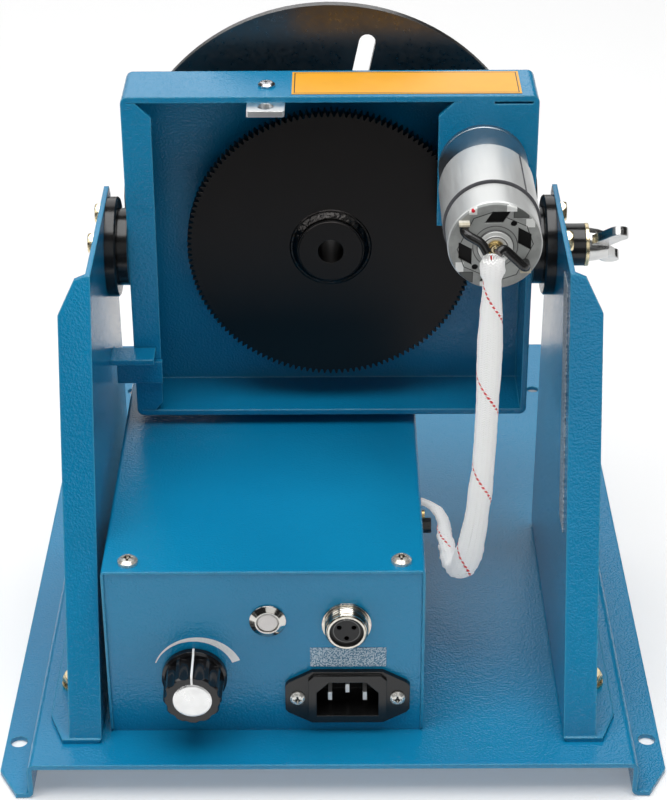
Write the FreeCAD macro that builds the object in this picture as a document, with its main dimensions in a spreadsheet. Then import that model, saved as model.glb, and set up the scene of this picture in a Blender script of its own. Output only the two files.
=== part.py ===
import FreeCAD, Part
import math
import os
import re
import Sketcher

# Frame: origin on the floor midway between the four base mounting holes,
# X across the tilt axis, -Y the control side, +Y the table side, Z up. All sizes in millimetres.

doc = FreeCAD.newDocument("welding_positioner")
sheet = doc.addObject("Spreadsheet::Sheet", "Sheet")

sizes = {
    # running fits and face clearances
    "fit_run": "0.05",
    "fit_face": "0.1",
    "fit_drop": "0.3",
    # base plate and uprights
    "steel": "2",
    "plate_rim": "6.7",
    "plate_half": "=foot_out + plate_rim",
    "plate_end": "177.5",
    "plate_top": "16",
    "plate_bend": "3",
    "flange_wide": "13.2",
    "flange_half": "=plate_half + flange_wide",
    "flange_cut_x": "8",
    "flange_cut_y": "14.5",
    "mount_inset": "5.2",
    "mount_x": "=flange_half - mount_inset",
    "mount_y": "144.5",
    "mount_hole": "3.5",
    "spare_inset": "2.6",
    "spare_x": "=foot_hole_x - spare_inset",
    "spare_y": "127.5",
    "spare_hole": "3",
    "panel_out": "=panel_in + steel",
    "panel_in": "=disc_face + disc_thick",
    "panel_front_low": "-163.5",
    "panel_front_top": "-101.5",
    "panel_top_front_z": "194.5",
    "panel_top_rear_y": "-20.5",
    "panel_top_rear_z": "196.8",
    "panel_corner_y": "-16.5",
    "panel_corner_z": "191.8",
    "panel_back_top_y": "-9.8",
    "panel_back_top_z": "170",
    "panel_back_low": "-1.9",
    "panel_bend": "2.6",
    "panel_lean": "=(panel_front_top - panel_front_low) / (panel_top_front_z - plate_top)",
    "rim_wide": "11",
    "rim_out": "=panel_out + rim_wide",
    "rim_shoulder": "6.6",
    "rim_shoulder_x": "=rim_out - rim_shoulder",
    "rim_shoulder_z": "192.8",
    "rim_cut_z": "179.8",
    "rim_low": "=plate_top + steel",
    "rim_deep": "=steel * sqrt(1 + panel_lean * panel_lean)",
    "foot_wide": "20",
    "foot_out": "=panel_out + foot_wide",
    "foot_corner": "6.3",
    "foot_cut_x": "=foot_out - foot_corner",
    "foot_cut_y": "-147.3",
    "foot_top": "=plate_top + steel",
    "foot_hole_out": "11.7",
    "foot_hole_x": "=panel_out + foot_hole_out",
    "foot_hole_front": "-126.5",
    "foot_hole_rear": "-23.5",
    "foot_shank": "3",
    "foot_head_flat": "5",
    "foot_head_high": "4",
    "foot_washer": "6",
    "washer_thick": "1.2",
    "foot_nut_high": "5",
    "mark_thick": "0.25",
    # tilt axis
    "axis_y": "-33.5",
    "axis_z": "175",
    "disc_r": "20.9",
    "disc_thick": "4.6",
    "disc_face": "=box_half + box_gap",
    "barrel_r": "8.85",
    "barrel_long": "11.1",
    "barrel_right": "=panel_out + barrel_long",
    "barrel_left": "=panel_out + 1",
    "shaft_r": "6",
    "bush_bore": "=shaft_r + fit_run",
    "collar_r": "16.15",
    "pivot_ring": "17",
    "pivot_shank": "2.5",
    "pivot_head_flat": "4",
    "pivot_head_high": "3.6",
    "pivot_washer": "5",
    "pivot_washer_thick": "1",
    "stud_r": "4",
    "stud_long": "9.5",
    "stud_end": "=barrel_right + stud_long",
    "wing_washer_r": "9",
    "wing_washer_thick": "1.4",
    "wing_hub_r": "7.2",
    "wing_hub_long": "8.6",
    "wing_span": "19.5",
    "wing_reach": "15.1",
    "wing_tip": "3.9",
    "wing_half_thick": "1.9",
    "wing_turn": "-42",
    "clip_thick": "1",
    "clip_r": "8.2",
    "clip_groove": "5.4",
    "clip_near": "=barrel_left + fit_face",
    "clip_far": "=clip_near + clip_thick",
    # tilting box
    "box_gap": "4.35",
    "box_half": "83.85",
    "box_steel": "2.5",
    "box_wall": "=box_half - box_steel",
    "box_low": "98.7",
    "box_top": "244.7",
    "box_front": "-42.4",
    "box_back": "-10.8",
    "box_bend": "3",
    "box_ceiling": "=box_top - box_steel",
    "box_floor": "=box_low + box_steel",
    "box_plate_back": "=box_front + box_steel",
    "box_inner_back": "=box_back - box_steel",
    "box_slit": "0.2",
    "lip_side": "12.05",
    "lip_edge": "=box_half - lip_side",
    "lip_cut": "6.2",
    "lip_low_side": "11.25",
    "lip_low_edge": "=box_half - lip_low_side",
    "lip_low_cut": "3.3",
    "lip_low_rise": "3.8",
    "plate_wide": "37.65",
    "plate_left": "=box_wall - plate_wide",
    "plate_low": "188",
    "plate_cut": "6.1",
    "plate_shoulder": "8.7",
    "plate_tab_left": "=plate_left + plate_shoulder",
    "plate_relief": "15.45",
    "plate_tab_right": "=box_wall - plate_relief",
    "plate_slot": "1",
    "neck_r": "5.5",
    "rivet_r": "6.2",
    "rivet_thick": "1.2",
    "stop_reach": "18.3",
    "stop_in": "=panel_in - stop_reach",
    "stop_front": "-54",
    "stop_gap": "0.3",
    "stop_low": "129.5",
    "stop_thick": "2.5",
    "tab_gap": "1.5",
    "tab_out": "=panel_in - tab_gap",
    "tab_wide": "19.3",
    "tab_in": "=tab_out - tab_wide",
    "tab_low": "115.9",
    "tab_high": "126.2",
    "tab_thick": "2.5",
    # gear train
    "tooth_size": "0.8",
    "gear_teeth": "148",
    "pinion_teeth": "18",
    "tooth_play": "0.12",
    "motor_side": "1.30380",
    "mesh_angle": "=acos(motor_x / (mesh_gap + motor_offset))",
    "mesh_gap": "=tooth_size * (gear_teeth + pinion_teeth) / 2",
    "motor_offset": "7",
    "pinion_x": "=mesh_gap * cos(mesh_angle)",
    "pinion_z": "=axis_z + mesh_gap * sin(mesh_angle)",
    "motor_x": "=box_wall - motor_side - gearbox_r",
    "motor_z": "=axis_z + (mesh_gap + motor_offset) * sin(mesh_angle)",
    "gear_front": "-35.1",
    "gear_thick": "6",
    "gear_back": "=gear_front + gear_thick",
    "weld_r": "16",
    "weld_high": "1.8",
    "hub_r": "13.75",
    "hub_front": "-39.2",
    "spindle_bore": "5.3",
    "journal_r": "15",
    "bearing_out": "21",
    "bearing_wide": "7",
    "bearing_front": "-21.5",
    "bearing_rear": "-5.5",
    "shoulder_r": "17",
    "shoulder_top": "4.5",
    "spacer_r": "17",
    "housing_r": "24",
    "housing_front": "-23.5",
    "housing_end": "3.5",
    "housing_step": "18.5",
    "housing_flange_wide": "9",
    "housing_flange_r": "=housing_r + housing_flange_wide",
    "housing_flange_thick": "3.5",
    "housing_screw_out": "4.5",
    "housing_screw_ring": "=housing_r + housing_screw_out",
    "small_shank": "2",
    "small_head": "3.6",
    "small_head_high": "2.4",
    "hub_flange_r": "25",
    "table_back": "9.4",
    "table_thick": "4",
    "table_front": "=table_back + table_thick",
    "table_r": "90",
    "table_bore": "10",
    "table_slot_half": "3.5",
    "table_slot_in": "28.5",
    "table_slot_out": "75.2",
    "table_turn": "12",
    "table_screw_ring": "19",
    "countersink": "2",
    # gear motor
    "gearbox_r": "18.1",
    "gearbox_long": "21.1",
    "gearbox_end": "=box_front - gearbox_long",
    "boss_r": "6",
    "boss_long": "4.5",
    "output_r": "3",
    "pinion_front": "=gear_front - 1",
    "pinion_long": "8",
    "screw_ring": "15.5",
    "ring_r": "18.9",
    "neck_long": "1",
    "can_r": "17.9",
    "seam_angle": "48",
    "seam_half": "0.35",
    "can_seam": "-99.5",
    "can_end": "-117.5",
    "cap_face": "-118.6",
    "cap_boss_r": "6.8",
    "cap_boss": "-120.2",
    "brass_r": "3.3",
    "brass_end": "-121.6",
    # welding current path
    "bar_x": "-25.5",
    "bar_half": "7.6",
    "bar_thick": "2.5",
    "bar_front": "-51.8",
    "bar_back": "-21.5",
    "bar_hole_y": "-46.5",
    "bar_hole": "3.2",
    "bar_screw_y": "-30.4",
    "dome_r": "3.5",
    "dome_high": "2",
    "brush_half": "4",
    "brush_high": "11",
    "brush_front": "-28.6",
    "brush_back": "-24",
    "holder_thick": "1.5",
    "holder_foot": "16",
    "holder_hole_z": "=axis_z + spacer_r + brush_high + 9",
    # control box
    "case_side": "4.1",
    "case_left": "=case_side - panel_in",
    "case_right": "35.6",
    "case_front": "-155",
    "case_back": "0.5",
    "case_sheet": "1",
    "case_top": "92.4",
    "case_lip": "14",
    "cover_gap": "0.8",
    "cover_foot": "17.2",
    "cover_screw_in": "9.2",
    "cover_screw_left": "=case_left + cover_screw_in",
    "cover_screw_right": "27.3",
    "cover_screw_front": "-148.9",
    "cover_screw_rear": "-5.6",
    "cover_head": "4",
    "lead_hole_y": "-78.5",
    "lead_hole_z": "78",
    "lead_hole": "6.4",
    "earth_y": "-91.2",
    "earth_z": "73",
    "knob_x": "-54.8",
    "knob_z": "43.8",
    "knob_r": "13",
    "knob_body_r": "12",
    "knob_tip_r": "11.5",
    "knob_skirt": "2.4",
    "knob_flute_ring": "13.2",
    "knob_flute_r": "2.9",
    "knob_high": "17",
    "knob_cap_r": "7.7",
    "knob_cap_thick": "1",
    "pot_shaft_r": "3",
    "pot_bush_r": "4.6",
    "pot_bush_long": "6",
    "pot_r": "12",
    "pot_deep": "12",
    "button_x": "-25.2",
    "button_z": "70",
    "button_r": "4.35",
    "button_out": "1.7",
    "button_travel": "1.5",
    "bezel_r": "7.25",
    "bezel_thick": "2",
    "switch_r": "6",
    "switch_deep": "22",
    "socket_x": "5.8",
    "socket_z": "68.4",
    "socket_flange": "9.75",
    "socket_flange_thick": "1.1",
    "socket_r": "8",
    "socket_out": "6.4",
    "socket_insert": "6.7",
    "socket_deep": "14",
    "inlet_x": "6.1",
    "inlet_z": "33.8",
    "inlet_half": "25.2",
    "inlet_half_high": "12.5",
    "inlet_thick": "2.2",
    "inlet_slope_x": "11",
    "inlet_slope_z": "6.2",
    "inlet_mid_half": "15.6",
    "inlet_mid_half_high": "11.2",
    "inlet_mid_cut": "2.2",
    "inlet_out": "3.4",
    "inlet_open_half": "12.4",
    "inlet_open_half_high": "8.2",
    "inlet_open_cut": "5",
    "inlet_body_half": "14",
    "inlet_body_half_high": "10.5",
    "inlet_deep": "17",
    "pin_gap": "7",
    "pin_half": "0.8",
    "pin_high": "2",
    "inlet_screw_gap": "20",
    "inlet_screw_head": "3",
    "label_left": "-8.7",
    "label_right": "21.5",
    "label_low": "47.8",
    "label_high": "56.8",
    "board_side": "10.7",
    "board_left": "=case_left + board_side",
    "board_right": "22",
    "board_front": "-118",
    "board_back": "-22",
    "board_low": "25",
    "board_thick": "1.6",
    "board_inset": "5",
    "standoff_r": "2.8",
    # lead sleeve between control box and motor
    "lead_side": "1.54620",
    "lead_out": "94.5",
    "sleeve_r": "4.2",
    "wire_r": "1.75",
}

for row, (name, text) in enumerate(sizes.items(), 1):
    sheet.set(f"A{row}", name)
    sheet.set(f"B{row}", text)
    sheet.setAlias(f"B{row}", name)
doc.recompute()


def num(name):
    """The number a named size works out to."""
    value = sheet.get(name)
    return float(getattr(value, "Value", value))


def bound(text):
    """An expression in which every named size is read from the sheet."""
    return re.sub(r"[a-z][a-z_]*", lambda m: "Sheet." + m[0] if m[0] in sizes else m[0], str(text))


def place(item, x=0, y=0, z=0, axis=(1, 0, 0), turn=0):
    item.Placement = FreeCAD.Placement(
        FreeCAD.Vector(0, 0, 0), FreeCAD.Rotation(FreeCAD.Vector(*axis), turn)
    )
    for letter, text in zip("xyz", (x, y, z)):
        item.setExpression("Placement.Base." + letter, bound(text))
    return item


def new_body(label, **where):
    item = doc.addObject("PartDesign::Body", label)
    item.Label = label
    item.AllowCompound = True
    return place(item, **where)


def closed_line(sketch, points):
    """A closed outline whose corners sit at the given expressions."""
    count = len(points)
    first = len(sketch.Geometry)
    start = [
        FreeCAD.Vector(9 * math.cos(math.tau * k / count), 9 * math.sin(math.tau * k / count), 0)
        for k in range(count)
    ]
    for k in range(count):
        sketch.addGeometry(Part.LineSegment(start[k], start[(k + 1) % count]), False)
    for k in range(count):
        after = first + (k + 1) % count
        sketch.addConstraint(Sketcher.Constraint("Coincident", first + k, 2, after, 1))
    for k, (across, up) in enumerate(points):
        for kind, text in (("DistanceX", across), ("DistanceY", up)):
            rule = Sketcher.Constraint(kind, -1, 1, first + k, 1, 1.0)
            sketch.setExpression(f"Constraints[{sketch.addConstraint(rule)}]", bound(text))


def round_line(sketch, across, up, radius):
    ring = sketch.addGeometry(Part.Circle(FreeCAD.Vector(1, 1, 0), FreeCAD.Vector(0, 0, 1), 2), False)
    for kind, text in (("DistanceX", across), ("DistanceY", up)):
        rule = Sketcher.Constraint(kind, -1, 1, ring, 3, 1.0)
        sketch.setExpression(f"Constraints[{sketch.addConstraint(rule)}]", bound(text))
    rule = sketch.addConstraint(Sketcher.Constraint("Radius", ring, 2.0))
    sketch.setExpression(f"Constraints[{rule}]", bound(radius))


def draw(body, axis, at, shapes):
    """A sketch across one axis: lists are outlines, triples are circles."""
    role, sense = {"x": ("YZ_Plane", 1), "y": ("XZ_Plane", -1), "z": ("XY_Plane", 1)}[axis]
    sketch = body.newObject("Sketcher::SketchObject", "sketch")
    plane = [item for item in body.Origin.OriginFeatures if item.Role == role][0]
    sketch.AttachmentSupport = [(plane, "")]
    sketch.MapMode = "FlatFace"
    sketch.setExpression("AttachmentOffset.Base.z", bound(f"{sense} * ({at})"))
    for shape in shapes:
        if isinstance(shape, list):
            closed_line(sketch, shape)
        else:
            round_line(sketch, *shape)
    return sketch


def box_line(left, low, right, high):
    return [(left, low), (right, low), (right, high), (left, high)]


def hexagon(across, up, flat):
    corners = []
    for k in range(6):
        corners.append(
            (
                f"({across}) + ({flat}) * {math.cos(math.pi * k / 3) / math.cos(math.pi / 6):.5f}",
                f"({up}) + ({flat}) * {math.sin(math.pi * k / 3) / math.cos(math.pi / 6):.5f}",
            )
        )
    return corners


def pad(body, axis, start, end, *shapes):
    item = body.newObject("PartDesign::Pad", "pad")
    item.Profile = draw(body, axis, start, shapes)
    item.Reversed = axis == "y"
    item.setExpression("Length", bound(f"({end}) - ({start})"))
    return item


def cut(body, axis, start, end, *shapes):
    item = body.newObject("PartDesign::Pocket", "pocket")
    item.Profile = draw(body, axis, start, shapes)
    item.Reversed = axis != "y"
    item.setExpression("Length", bound(f"({end}) - ({start})"))
    return item


def turn(body, axis, profile, groove=False):
    """Turn a profile of (along, radius) pairs about one axis of the body."""
    points = [(along, radius) if axis == "x" else (radius, along) for along, radius in profile]
    sketch = draw(body, "y" if axis == "z" else "z", "0", [points])
    item = body.newObject("PartDesign::Groove" if groove else "PartDesign::Revolution", "turned")
    item.Profile = sketch
    item.ReferenceAxis = (sketch, ["H_Axis" if axis == "x" else "V_Axis"])
    item.Angle = 360
    return item


def repeat(body, features, count):
    """Repeat features evenly about the body's own Y axis."""
    item = body.newObject("PartDesign::PolarPattern", "pattern")
    item.Originals = features
    centre = [part for part in body.Origin.OriginFeatures if part.Role == "Y_Axis"][0]
    item.Axis = (centre, [""])
    item.Angle = 360
    item.Occurrences = count
    body.Tip = item
    return item


def soften(body, kind, size, chosen):
    """Fillet or chamfer the edges of the tip for which chosen(edge) holds."""
    doc.recompute()
    tip = body.Tip
    names = [f"Edge{k}" for k, edge in enumerate(tip.Shape.Edges, 1) if chosen(edge)]
    item = body.newObject("PartDesign::" + kind, kind.lower())
    item.Base = (tip, names)
    item.setExpression("Size" if kind == "Chamfer" else "Radius", bound(size))
    return item


def runs_along(edge, axis):
    first, last = edge.Vertexes[0].Point, edge.Vertexes[-1].Point
    step = last - first
    return step.Length > 1 and abs(abs(step["xyz".index(axis)]) - step.Length) < 1e-4


def copies(label, source, spots):
    """One node holding a copy of the source at every spot."""
    links = []
    for k, spot in enumerate(spots, 1):
        link = doc.addObject("App::Link", f"{label}_{k}")
        link.LinkedObject = source
        links.append(place(link, **spot))
    group = doc.addObject("Part::Compound", label)
    group.Label = label
    group.Links = links
    return group


def span(side, near, far):
    """The same stretch of X on the right (1) or the left (-1)."""
    return (near, far) if side > 0 else (f"-({far})", f"-({near})")


nodes = []


def node(item):
    nodes.append(item)
    return item


# base


def base_plate():
    body = new_body("base_plate")
    right = [
        ("plate_half", "plate_top"),
        ("plate_half", "steel"),
        ("flange_half", "steel"),
        ("flange_half", "0"),
        ("plate_half - steel", "0"),
        ("plate_half - steel", "plate_top - steel"),
    ]
    left = [(f"-({across})", up) for across, up in reversed(right)]
    pad(body, "y", "-plate_end", "plate_end", right + left)

    def bend(edge):
        spot = edge.CenterOfMass
        outer = abs(spot.z - num("plate_top")) < 0.01 and abs(abs(spot.x) - num("plate_half")) < 0.01
        lower = abs(spot.z) < 0.01 and abs(abs(spot.x) - num("plate_half") + num("steel")) < 0.01
        return runs_along(edge, "y") and (outer or lower)

    soften(body, "Fillet", "plate_bend", bend)

    def elbow(edge):
        spot = edge.CenterOfMass
        inner = abs(abs(spot.x) - num("plate_half") + num("steel")) < 0.01 and spot.z > num("steel") + 1
        outer = abs(abs(spot.x) - num("plate_half")) < 0.01 and abs(spot.z - num("steel")) < 0.01
        return runs_along(edge, "y") and (inner or outer)

    soften(body, "Fillet", "plate_bend - steel", elbow)
    for across in (1, -1):
        for along in (1, -1):
            edge_x = f"{across} * flange_half"
            edge_y = f"{along} * plate_end"
            corner = [
                (edge_x, edge_y),
                (f"{across} * (flange_half - flange_cut_x)", edge_y),
                (edge_x, f"{along} * (plate_end - flange_cut_y)"),
            ]
            cut(body, "z", "0", "steel", corner)
    drill = [(f"{a} * mount_x", f"{b} * mount_y", "mount_hole") for a in (1, -1) for b in (1, -1)]
    cut(body, "z", "0", "steel", *drill)
    drill = [(f"{a} * spare_x", "spare_y", "spare_hole") for a in (1, -1)]
    rows = ("foot_hole_front", "foot_hole_rear")
    drill += [(f"{a} * foot_hole_x", b, "foot_shank + fit_drop") for a in (1, -1) for b in rows]
    drill += [(x, y, "small_shank + fit_run") for x, y in chassis_spots]
    cut(body, "z", "plate_top - steel", "plate_top", *drill)
    return body


def upright(side, label):
    body = new_body(label)
    outline = [
        ("panel_front_low", "plate_top"),
        ("panel_back_low", "plate_top"),
        ("panel_back_top_y", "panel_back_top_z"),
        ("panel_corner_y", "panel_corner_z"),
        ("panel_top_rear_y", "panel_top_rear_z"),
        ("panel_front_top", "panel_top_front_z"),
    ]
    pad(body, "x", *span(side, "panel_in", "panel_out"), outline)
    low = "panel_front_low + (rim_low - plate_top) * panel_lean"
    high, top = "panel_front_top", "panel_top_front_z"
    rim = [(low, "rim_low"), (f"{low} + rim_deep", "rim_low"), (f"{high} + rim_deep", top), (high, top)]
    pad(body, "x", *span(side, "panel_in", "rim_out"), rim)
    foot = [
        (f"{side} * panel_in", "panel_front_low"),
        (f"{side} * foot_cut_x", "panel_front_low"),
        (f"{side} * foot_out", "foot_cut_y"),
        (f"{side} * foot_out", "panel_back_low"),
        (f"{side} * panel_in", "panel_back_low"),
    ]
    pad(body, "z", "plate_top", "foot_top", foot)
    corner = [
        (f"{side} * panel_out", "panel_top_front_z"),
        (f"{side} * panel_out", "panel_top_front_z + 1"),
        (f"{side} * (rim_out + 1)", "panel_top_front_z + 1"),
        (f"{side} * (rim_out + 1)", "rim_cut_z"),
        (f"{side} * rim_out", "rim_cut_z"),
        (f"{side} * rim_shoulder_x", "rim_shoulder_z"),
    ]
    cut(body, "y", "panel_front_low", "panel_front_top + 10", corner)

    def bend(edge):
        spot = edge.CenterOfMass
        inner = abs(abs(spot.x) - num("panel_in")) < 0.01
        return inner and runs_along(edge, "y") and spot.z < num("foot_top") - 0.5

    soften(body, "Fillet", "panel_bend", bend)
    drill = [
        (f"{side} * foot_hole_x", y, "foot_shank + fit_drop") for y in ("foot_hole_front", "foot_hole_rear")
    ]
    cut(body, "z", "plate_top", "foot_top", *drill)
    drill = [("axis_y", "axis_z", "barrel_r + fit_run")]
    drill += [(f"axis_y + ({y})", f"axis_z + ({z})", "pivot_shank + fit_run") for y, z in pivot_spots]
    cut(body, "x", *span(side, "panel_in", "panel_out"), *drill)
    return body


pivot_spots = []
for angle in (60, 180, 300):
    side_step, up_step = math.sin(math.radians(angle)), math.cos(math.radians(angle))
    pivot_spots.append((f"pivot_ring * {side_step:.5f}", f"pivot_ring * {up_step:.5f}"))

chassis_spots = [
    (x, y)
    for x in ("case_left + 12", "case_right - 12")
    for y in ("case_front + 30", "case_back - 12")
]


def hex_bolt(label, axis_length, shank, flat, head):
    """Hex bolt along Z: the head sits above the floor plane, the shank below it."""
    body = new_body(label)
    pad(body, "z", "0", head, hexagon("0", "0", flat))
    ring = [("0", f"({flat}) * 1.6"), (f"{head} + 1", f"({flat}) * 1.6")]
    ring += [(f"{head} + 1", f"({flat}) * 0.6"), (f"{head}", f"({flat}) * 0.96"), ("0", f"({flat}) * 1.36")]
    turn(body, "z", ring, groove=True)
    pad(body, "z", f"-({axis_length})", "0", ("0", "0", shank))
    return body


def flat_ring(label, outer, inner, thick):
    body = new_body(label)
    pad(body, "z", "0", thick, ("0", "0", outer), ("0", "0", inner))
    return body


def pan_screw(label, shank, head, high, length, cross=True):
    """Pan-head cross-recess screw along Z: head above, shank below."""
    body = new_body(label)
    rise = f"({high})"
    turn(
        body,
        "z",
        [
            (f"-({length})", "0"),
            (f"-({length})", shank),
            ("0", shank),
            ("0", head),
            (f"{rise} * 0.45", head),
            (f"{rise} * 0.85", f"({head}) * 0.72"),
            (rise, f"({head}) * 0.35"),
            (rise, "0"),
        ],
    )
    if cross:
        long_arm, short_arm = f"({head}) * 0.55", f"({head}) * 0.12"
        for a, b in ((long_arm, short_arm), (short_arm, long_arm)):
            cut(body, "z", f"{rise} * 0.35", f"{rise} + 1", box_line(f"-({a})", f"-({b})", a, b))
    return body


def foot_fasteners():
    spots = [(f"{a} * foot_hole_x", b) for a in (1, -1) for b in ("foot_hole_front", "foot_hole_rear")]
    bolt = hex_bolt(
        "foot_bolt",
        "2 * steel + washer_thick + foot_nut_high + 2",
        "foot_shank",
        "foot_head_flat",
        "foot_head_high",
    )
    node(copies("foot_bolts", bolt, [dict(x=x, y=y, z="foot_top + washer_thick") for x, y in spots]))
    ring = flat_ring("foot_washer", "foot_washer", "foot_shank + fit_drop", "washer_thick")
    node(copies("foot_washers", ring, [dict(x=x, y=y, z="foot_top") for x, y in spots]))
    nut = new_body("foot_nut")
    pad(nut, "z", "-foot_nut_high", "0", hexagon("0", "0", "foot_head_flat"), ("0", "0", "foot_shank"))
    node(copies("foot_nuts", nut, [dict(x=x, y=y, z="plate_top - steel") for x, y in spots]))


def bush(side, label, end):
    body = new_body(label, y="axis_y", z="axis_z")
    start, face, stop = (f"{side} * ({v})" for v in ("disc_face", "panel_in", end))
    turn(
        body,
        "x",
        [
            (start, "bush_bore"),
            (start, "disc_r - 0.6"),
            (f"{start} + {side} * 0.6", "disc_r"),
            (face, "disc_r"),
            (face, "barrel_r"),
            (stop, "barrel_r"),
            (stop, "bush_bore"),
        ],
    )
    for y, z in pivot_spots:
        cut(body, "x", *span(side, "disc_face + 0.8", "panel_in"), (y, z, "pivot_shank"))
    return body


def pivot_fasteners():
    bolt = hex_bolt(
        "pivot_bolt",
        "steel + pivot_washer_thick + disc_thick - 1",
        "pivot_shank",
        "pivot_head_flat",
        "pivot_head_high",
    )
    ring = flat_ring("pivot_washer_ring", "pivot_washer", "pivot_shank + fit_drop", "pivot_washer_thick")
    bolts, rings = [], []
    for side in (1, -1):
        for y, z in pivot_spots:
            spot = dict(y=f"axis_y + {y}", z=f"axis_z + {z}", axis=(0, 1, 0), turn=90 * side)
            rings.append(dict(spot, x=f"{side} * panel_out"))
            bolts.append(dict(spot, x=f"{side} * (panel_out + pivot_washer_thick)"))
    node(copies("pivot_bolts", bolt, bolts))
    node(copies("pivot_washers", ring, rings))


def wing_parts():
    ring = new_body("wing_washer", y="axis_y", z="axis_z")
    pad(
        ring,
        "x",
        "barrel_right",
        "barrel_right + wing_washer_thick",
        ("0", "0", "wing_washer_r"),
        ("0", "0", "stud_r + fit_drop"),
    )
    node(ring)
    start = "barrel_right + wing_washer_thick"
    nut = new_body("wing_nut", y="axis_y", z="axis_z", axis=(1, 0, 0), turn=num("wing_turn"))
    hub = [(start, "0"), (start, "wing_hub_r"), (f"{start} + wing_hub_long * 0.5", "wing_hub_r * 0.9")]
    hub += [(f"{start} + wing_hub_long", "wing_hub_r * 0.72"), (f"{start} + wing_hub_long", "0")]
    turn(nut, "x", hub)
    for side in (1, -1):
        wing = [("1.2", "wing_hub_r * 0.6"), ("1.2", "wing_hub_r * 0.95")]
        for angle in range(140, -61, -25):
            along, out = (f"wing_tip * {part(math.radians(angle)):.5f}" for part in (math.cos, math.sin))
            wing.append((f"wing_reach - wing_tip + {along}", f"wing_span - wing_tip + {out}"))
        wing.append(("wing_hub_long", "wing_hub_r * 0.6"))
        wing = [(f"{start} + {along}", f"{side} * ({out})") for along, out in wing]
        pad(nut, "z", "-wing_half_thick", "wing_half_thick", wing)
    cut(nut, "x", start, f"{start} + wing_hub_long", ("0", "0", "stud_r + fit_run"))
    node(nut)


def stop_bar():
    body = new_body("stop_bar")
    outline = box_line("-panel_in", "stop_front", "-stop_in", "box_front - stop_gap")
    pad(body, "z", "stop_low", "stop_low + stop_thick", outline)
    return body


def upright_label():
    body = new_body("upright_label")
    strip = [("-95.5", "186"), ("-123.5", "90"), ("-109.5", "90"), ("-81.5", "186")]
    pad(body, "x", "panel_in - mark_thick", "panel_in", strip)
    return body


# control box


def control_chassis():
    body = new_body("control_chassis")
    floor, roof = "plate_top", "case_top"
    pad(body, "y", "case_front", "case_front + case_sheet", box_line("case_left", floor, "case_right", roof))
    pad(
        body,
        "z",
        floor,
        f"{floor} + case_sheet",
        box_line("case_left", "case_front", "case_right", "case_back"),
    )
    pad(body, "y", "case_back - case_sheet", "case_back", box_line("case_left", floor, "case_right", roof))
    lips = (("case_front", "case_front + case_lip"), ("case_back - case_lip", "case_back"))
    for near, far in lips:
        pad(body, "z", f"{roof} - case_sheet", roof, box_line("case_left", near, "case_right", far))
    front = [
        ("knob_x", "knob_z", "pot_bush_r + fit_run"),
        ("button_x", "button_z", "switch_r + fit_run"),
        ("socket_x", "socket_z", "socket_r + fit_run"),
        box_line(
            "inlet_x - inlet_body_half - fit_drop",
            "inlet_z - inlet_body_half_high - fit_drop",
            "inlet_x + inlet_body_half + fit_drop",
            "inlet_z + inlet_body_half_high + fit_drop",
        ),
    ]
    front += [(f"inlet_x + {s} * inlet_screw_gap", "inlet_z", "1.5 + fit_run") for s in (1, -1)]
    cut(body, "y", "case_front", "case_front + case_sheet", *front)
    drill = [(x, y, "small_shank + fit_run") for x in cover_columns for y in cover_rows]
    cut(body, "z", f"{roof} - case_sheet", roof, *drill)
    drill = [(x, y, "small_shank + fit_run") for x, y in chassis_spots]
    cut(body, "z", floor, f"{floor} + case_sheet", *drill)
    return body


cover_columns = ("cover_screw_left", "cover_screw_right")
cover_rows = ("cover_screw_front", "cover_screw_rear")


def control_cover():
    body = new_body("control_cover")
    near, far = "case_front - cover_gap", "case_back + cover_gap"
    outside = ("case_left - case_sheet", "case_right + case_sheet")
    shell = [
        (outside[0], "cover_foot"),
        ("case_left", "cover_foot"),
        ("case_left", "case_top"),
        ("case_right", "case_top"),
        ("case_right", "cover_foot"),
        (outside[1], "cover_foot"),
        (outside[1], "case_top + case_sheet"),
        (outside[0], "case_top + case_sheet"),
    ]
    pad(body, "y", near, far, shell)

    def bend(edge):
        spot = edge.CenterOfMass
        return runs_along(edge, "y") and spot.z > num("case_top") + 0.5

    soften(body, "Fillet", "case_sheet * 1.4", bend)
    cut(
        body,
        "z",
        "case_top",
        "case_top + case_sheet",
        *[(x, y, "small_shank + fit_drop") for x in cover_columns for y in cover_rows],
    )
    side_holes = [("lead_hole_y", "lead_hole_z", "lead_hole"), ("earth_y", "earth_z", "1.5 + fit_run")]
    cut(body, "x", "case_right", "case_right + case_sheet", *side_holes)
    return body


def case_screws():
    screw = pan_screw("cover_screw", "small_shank", "cover_head", "2.6", "6")
    spots = [dict(x=x, y=y, z="case_top + case_sheet") for x in cover_columns for y in cover_rows]
    node(copies("cover_screws", screw, spots))
    screw = pan_screw(
        "chassis_screw", "small_shank", "small_head", "small_head_high", "case_sheet + steel + 2"
    )
    node(
        copies(
            "chassis_screws", screw, [dict(x=x, y=y, z="plate_top + case_sheet") for x, y in chassis_spots]
        ),
    )


def earth_screw():
    body = new_body("earth_screw", y="earth_y", z="earth_z")
    face = "case_right + case_sheet"
    pad(body, "x", face, f"{face} + 2", ("0", "5.4", "1.9"))
    pad(body, "x", face, f"{face} + 4.8", hexagon("0", "0", "2.75"))
    pad(body, "x", "case_right - 4", face, ("0", "0", "1.5"))
    return body


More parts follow.
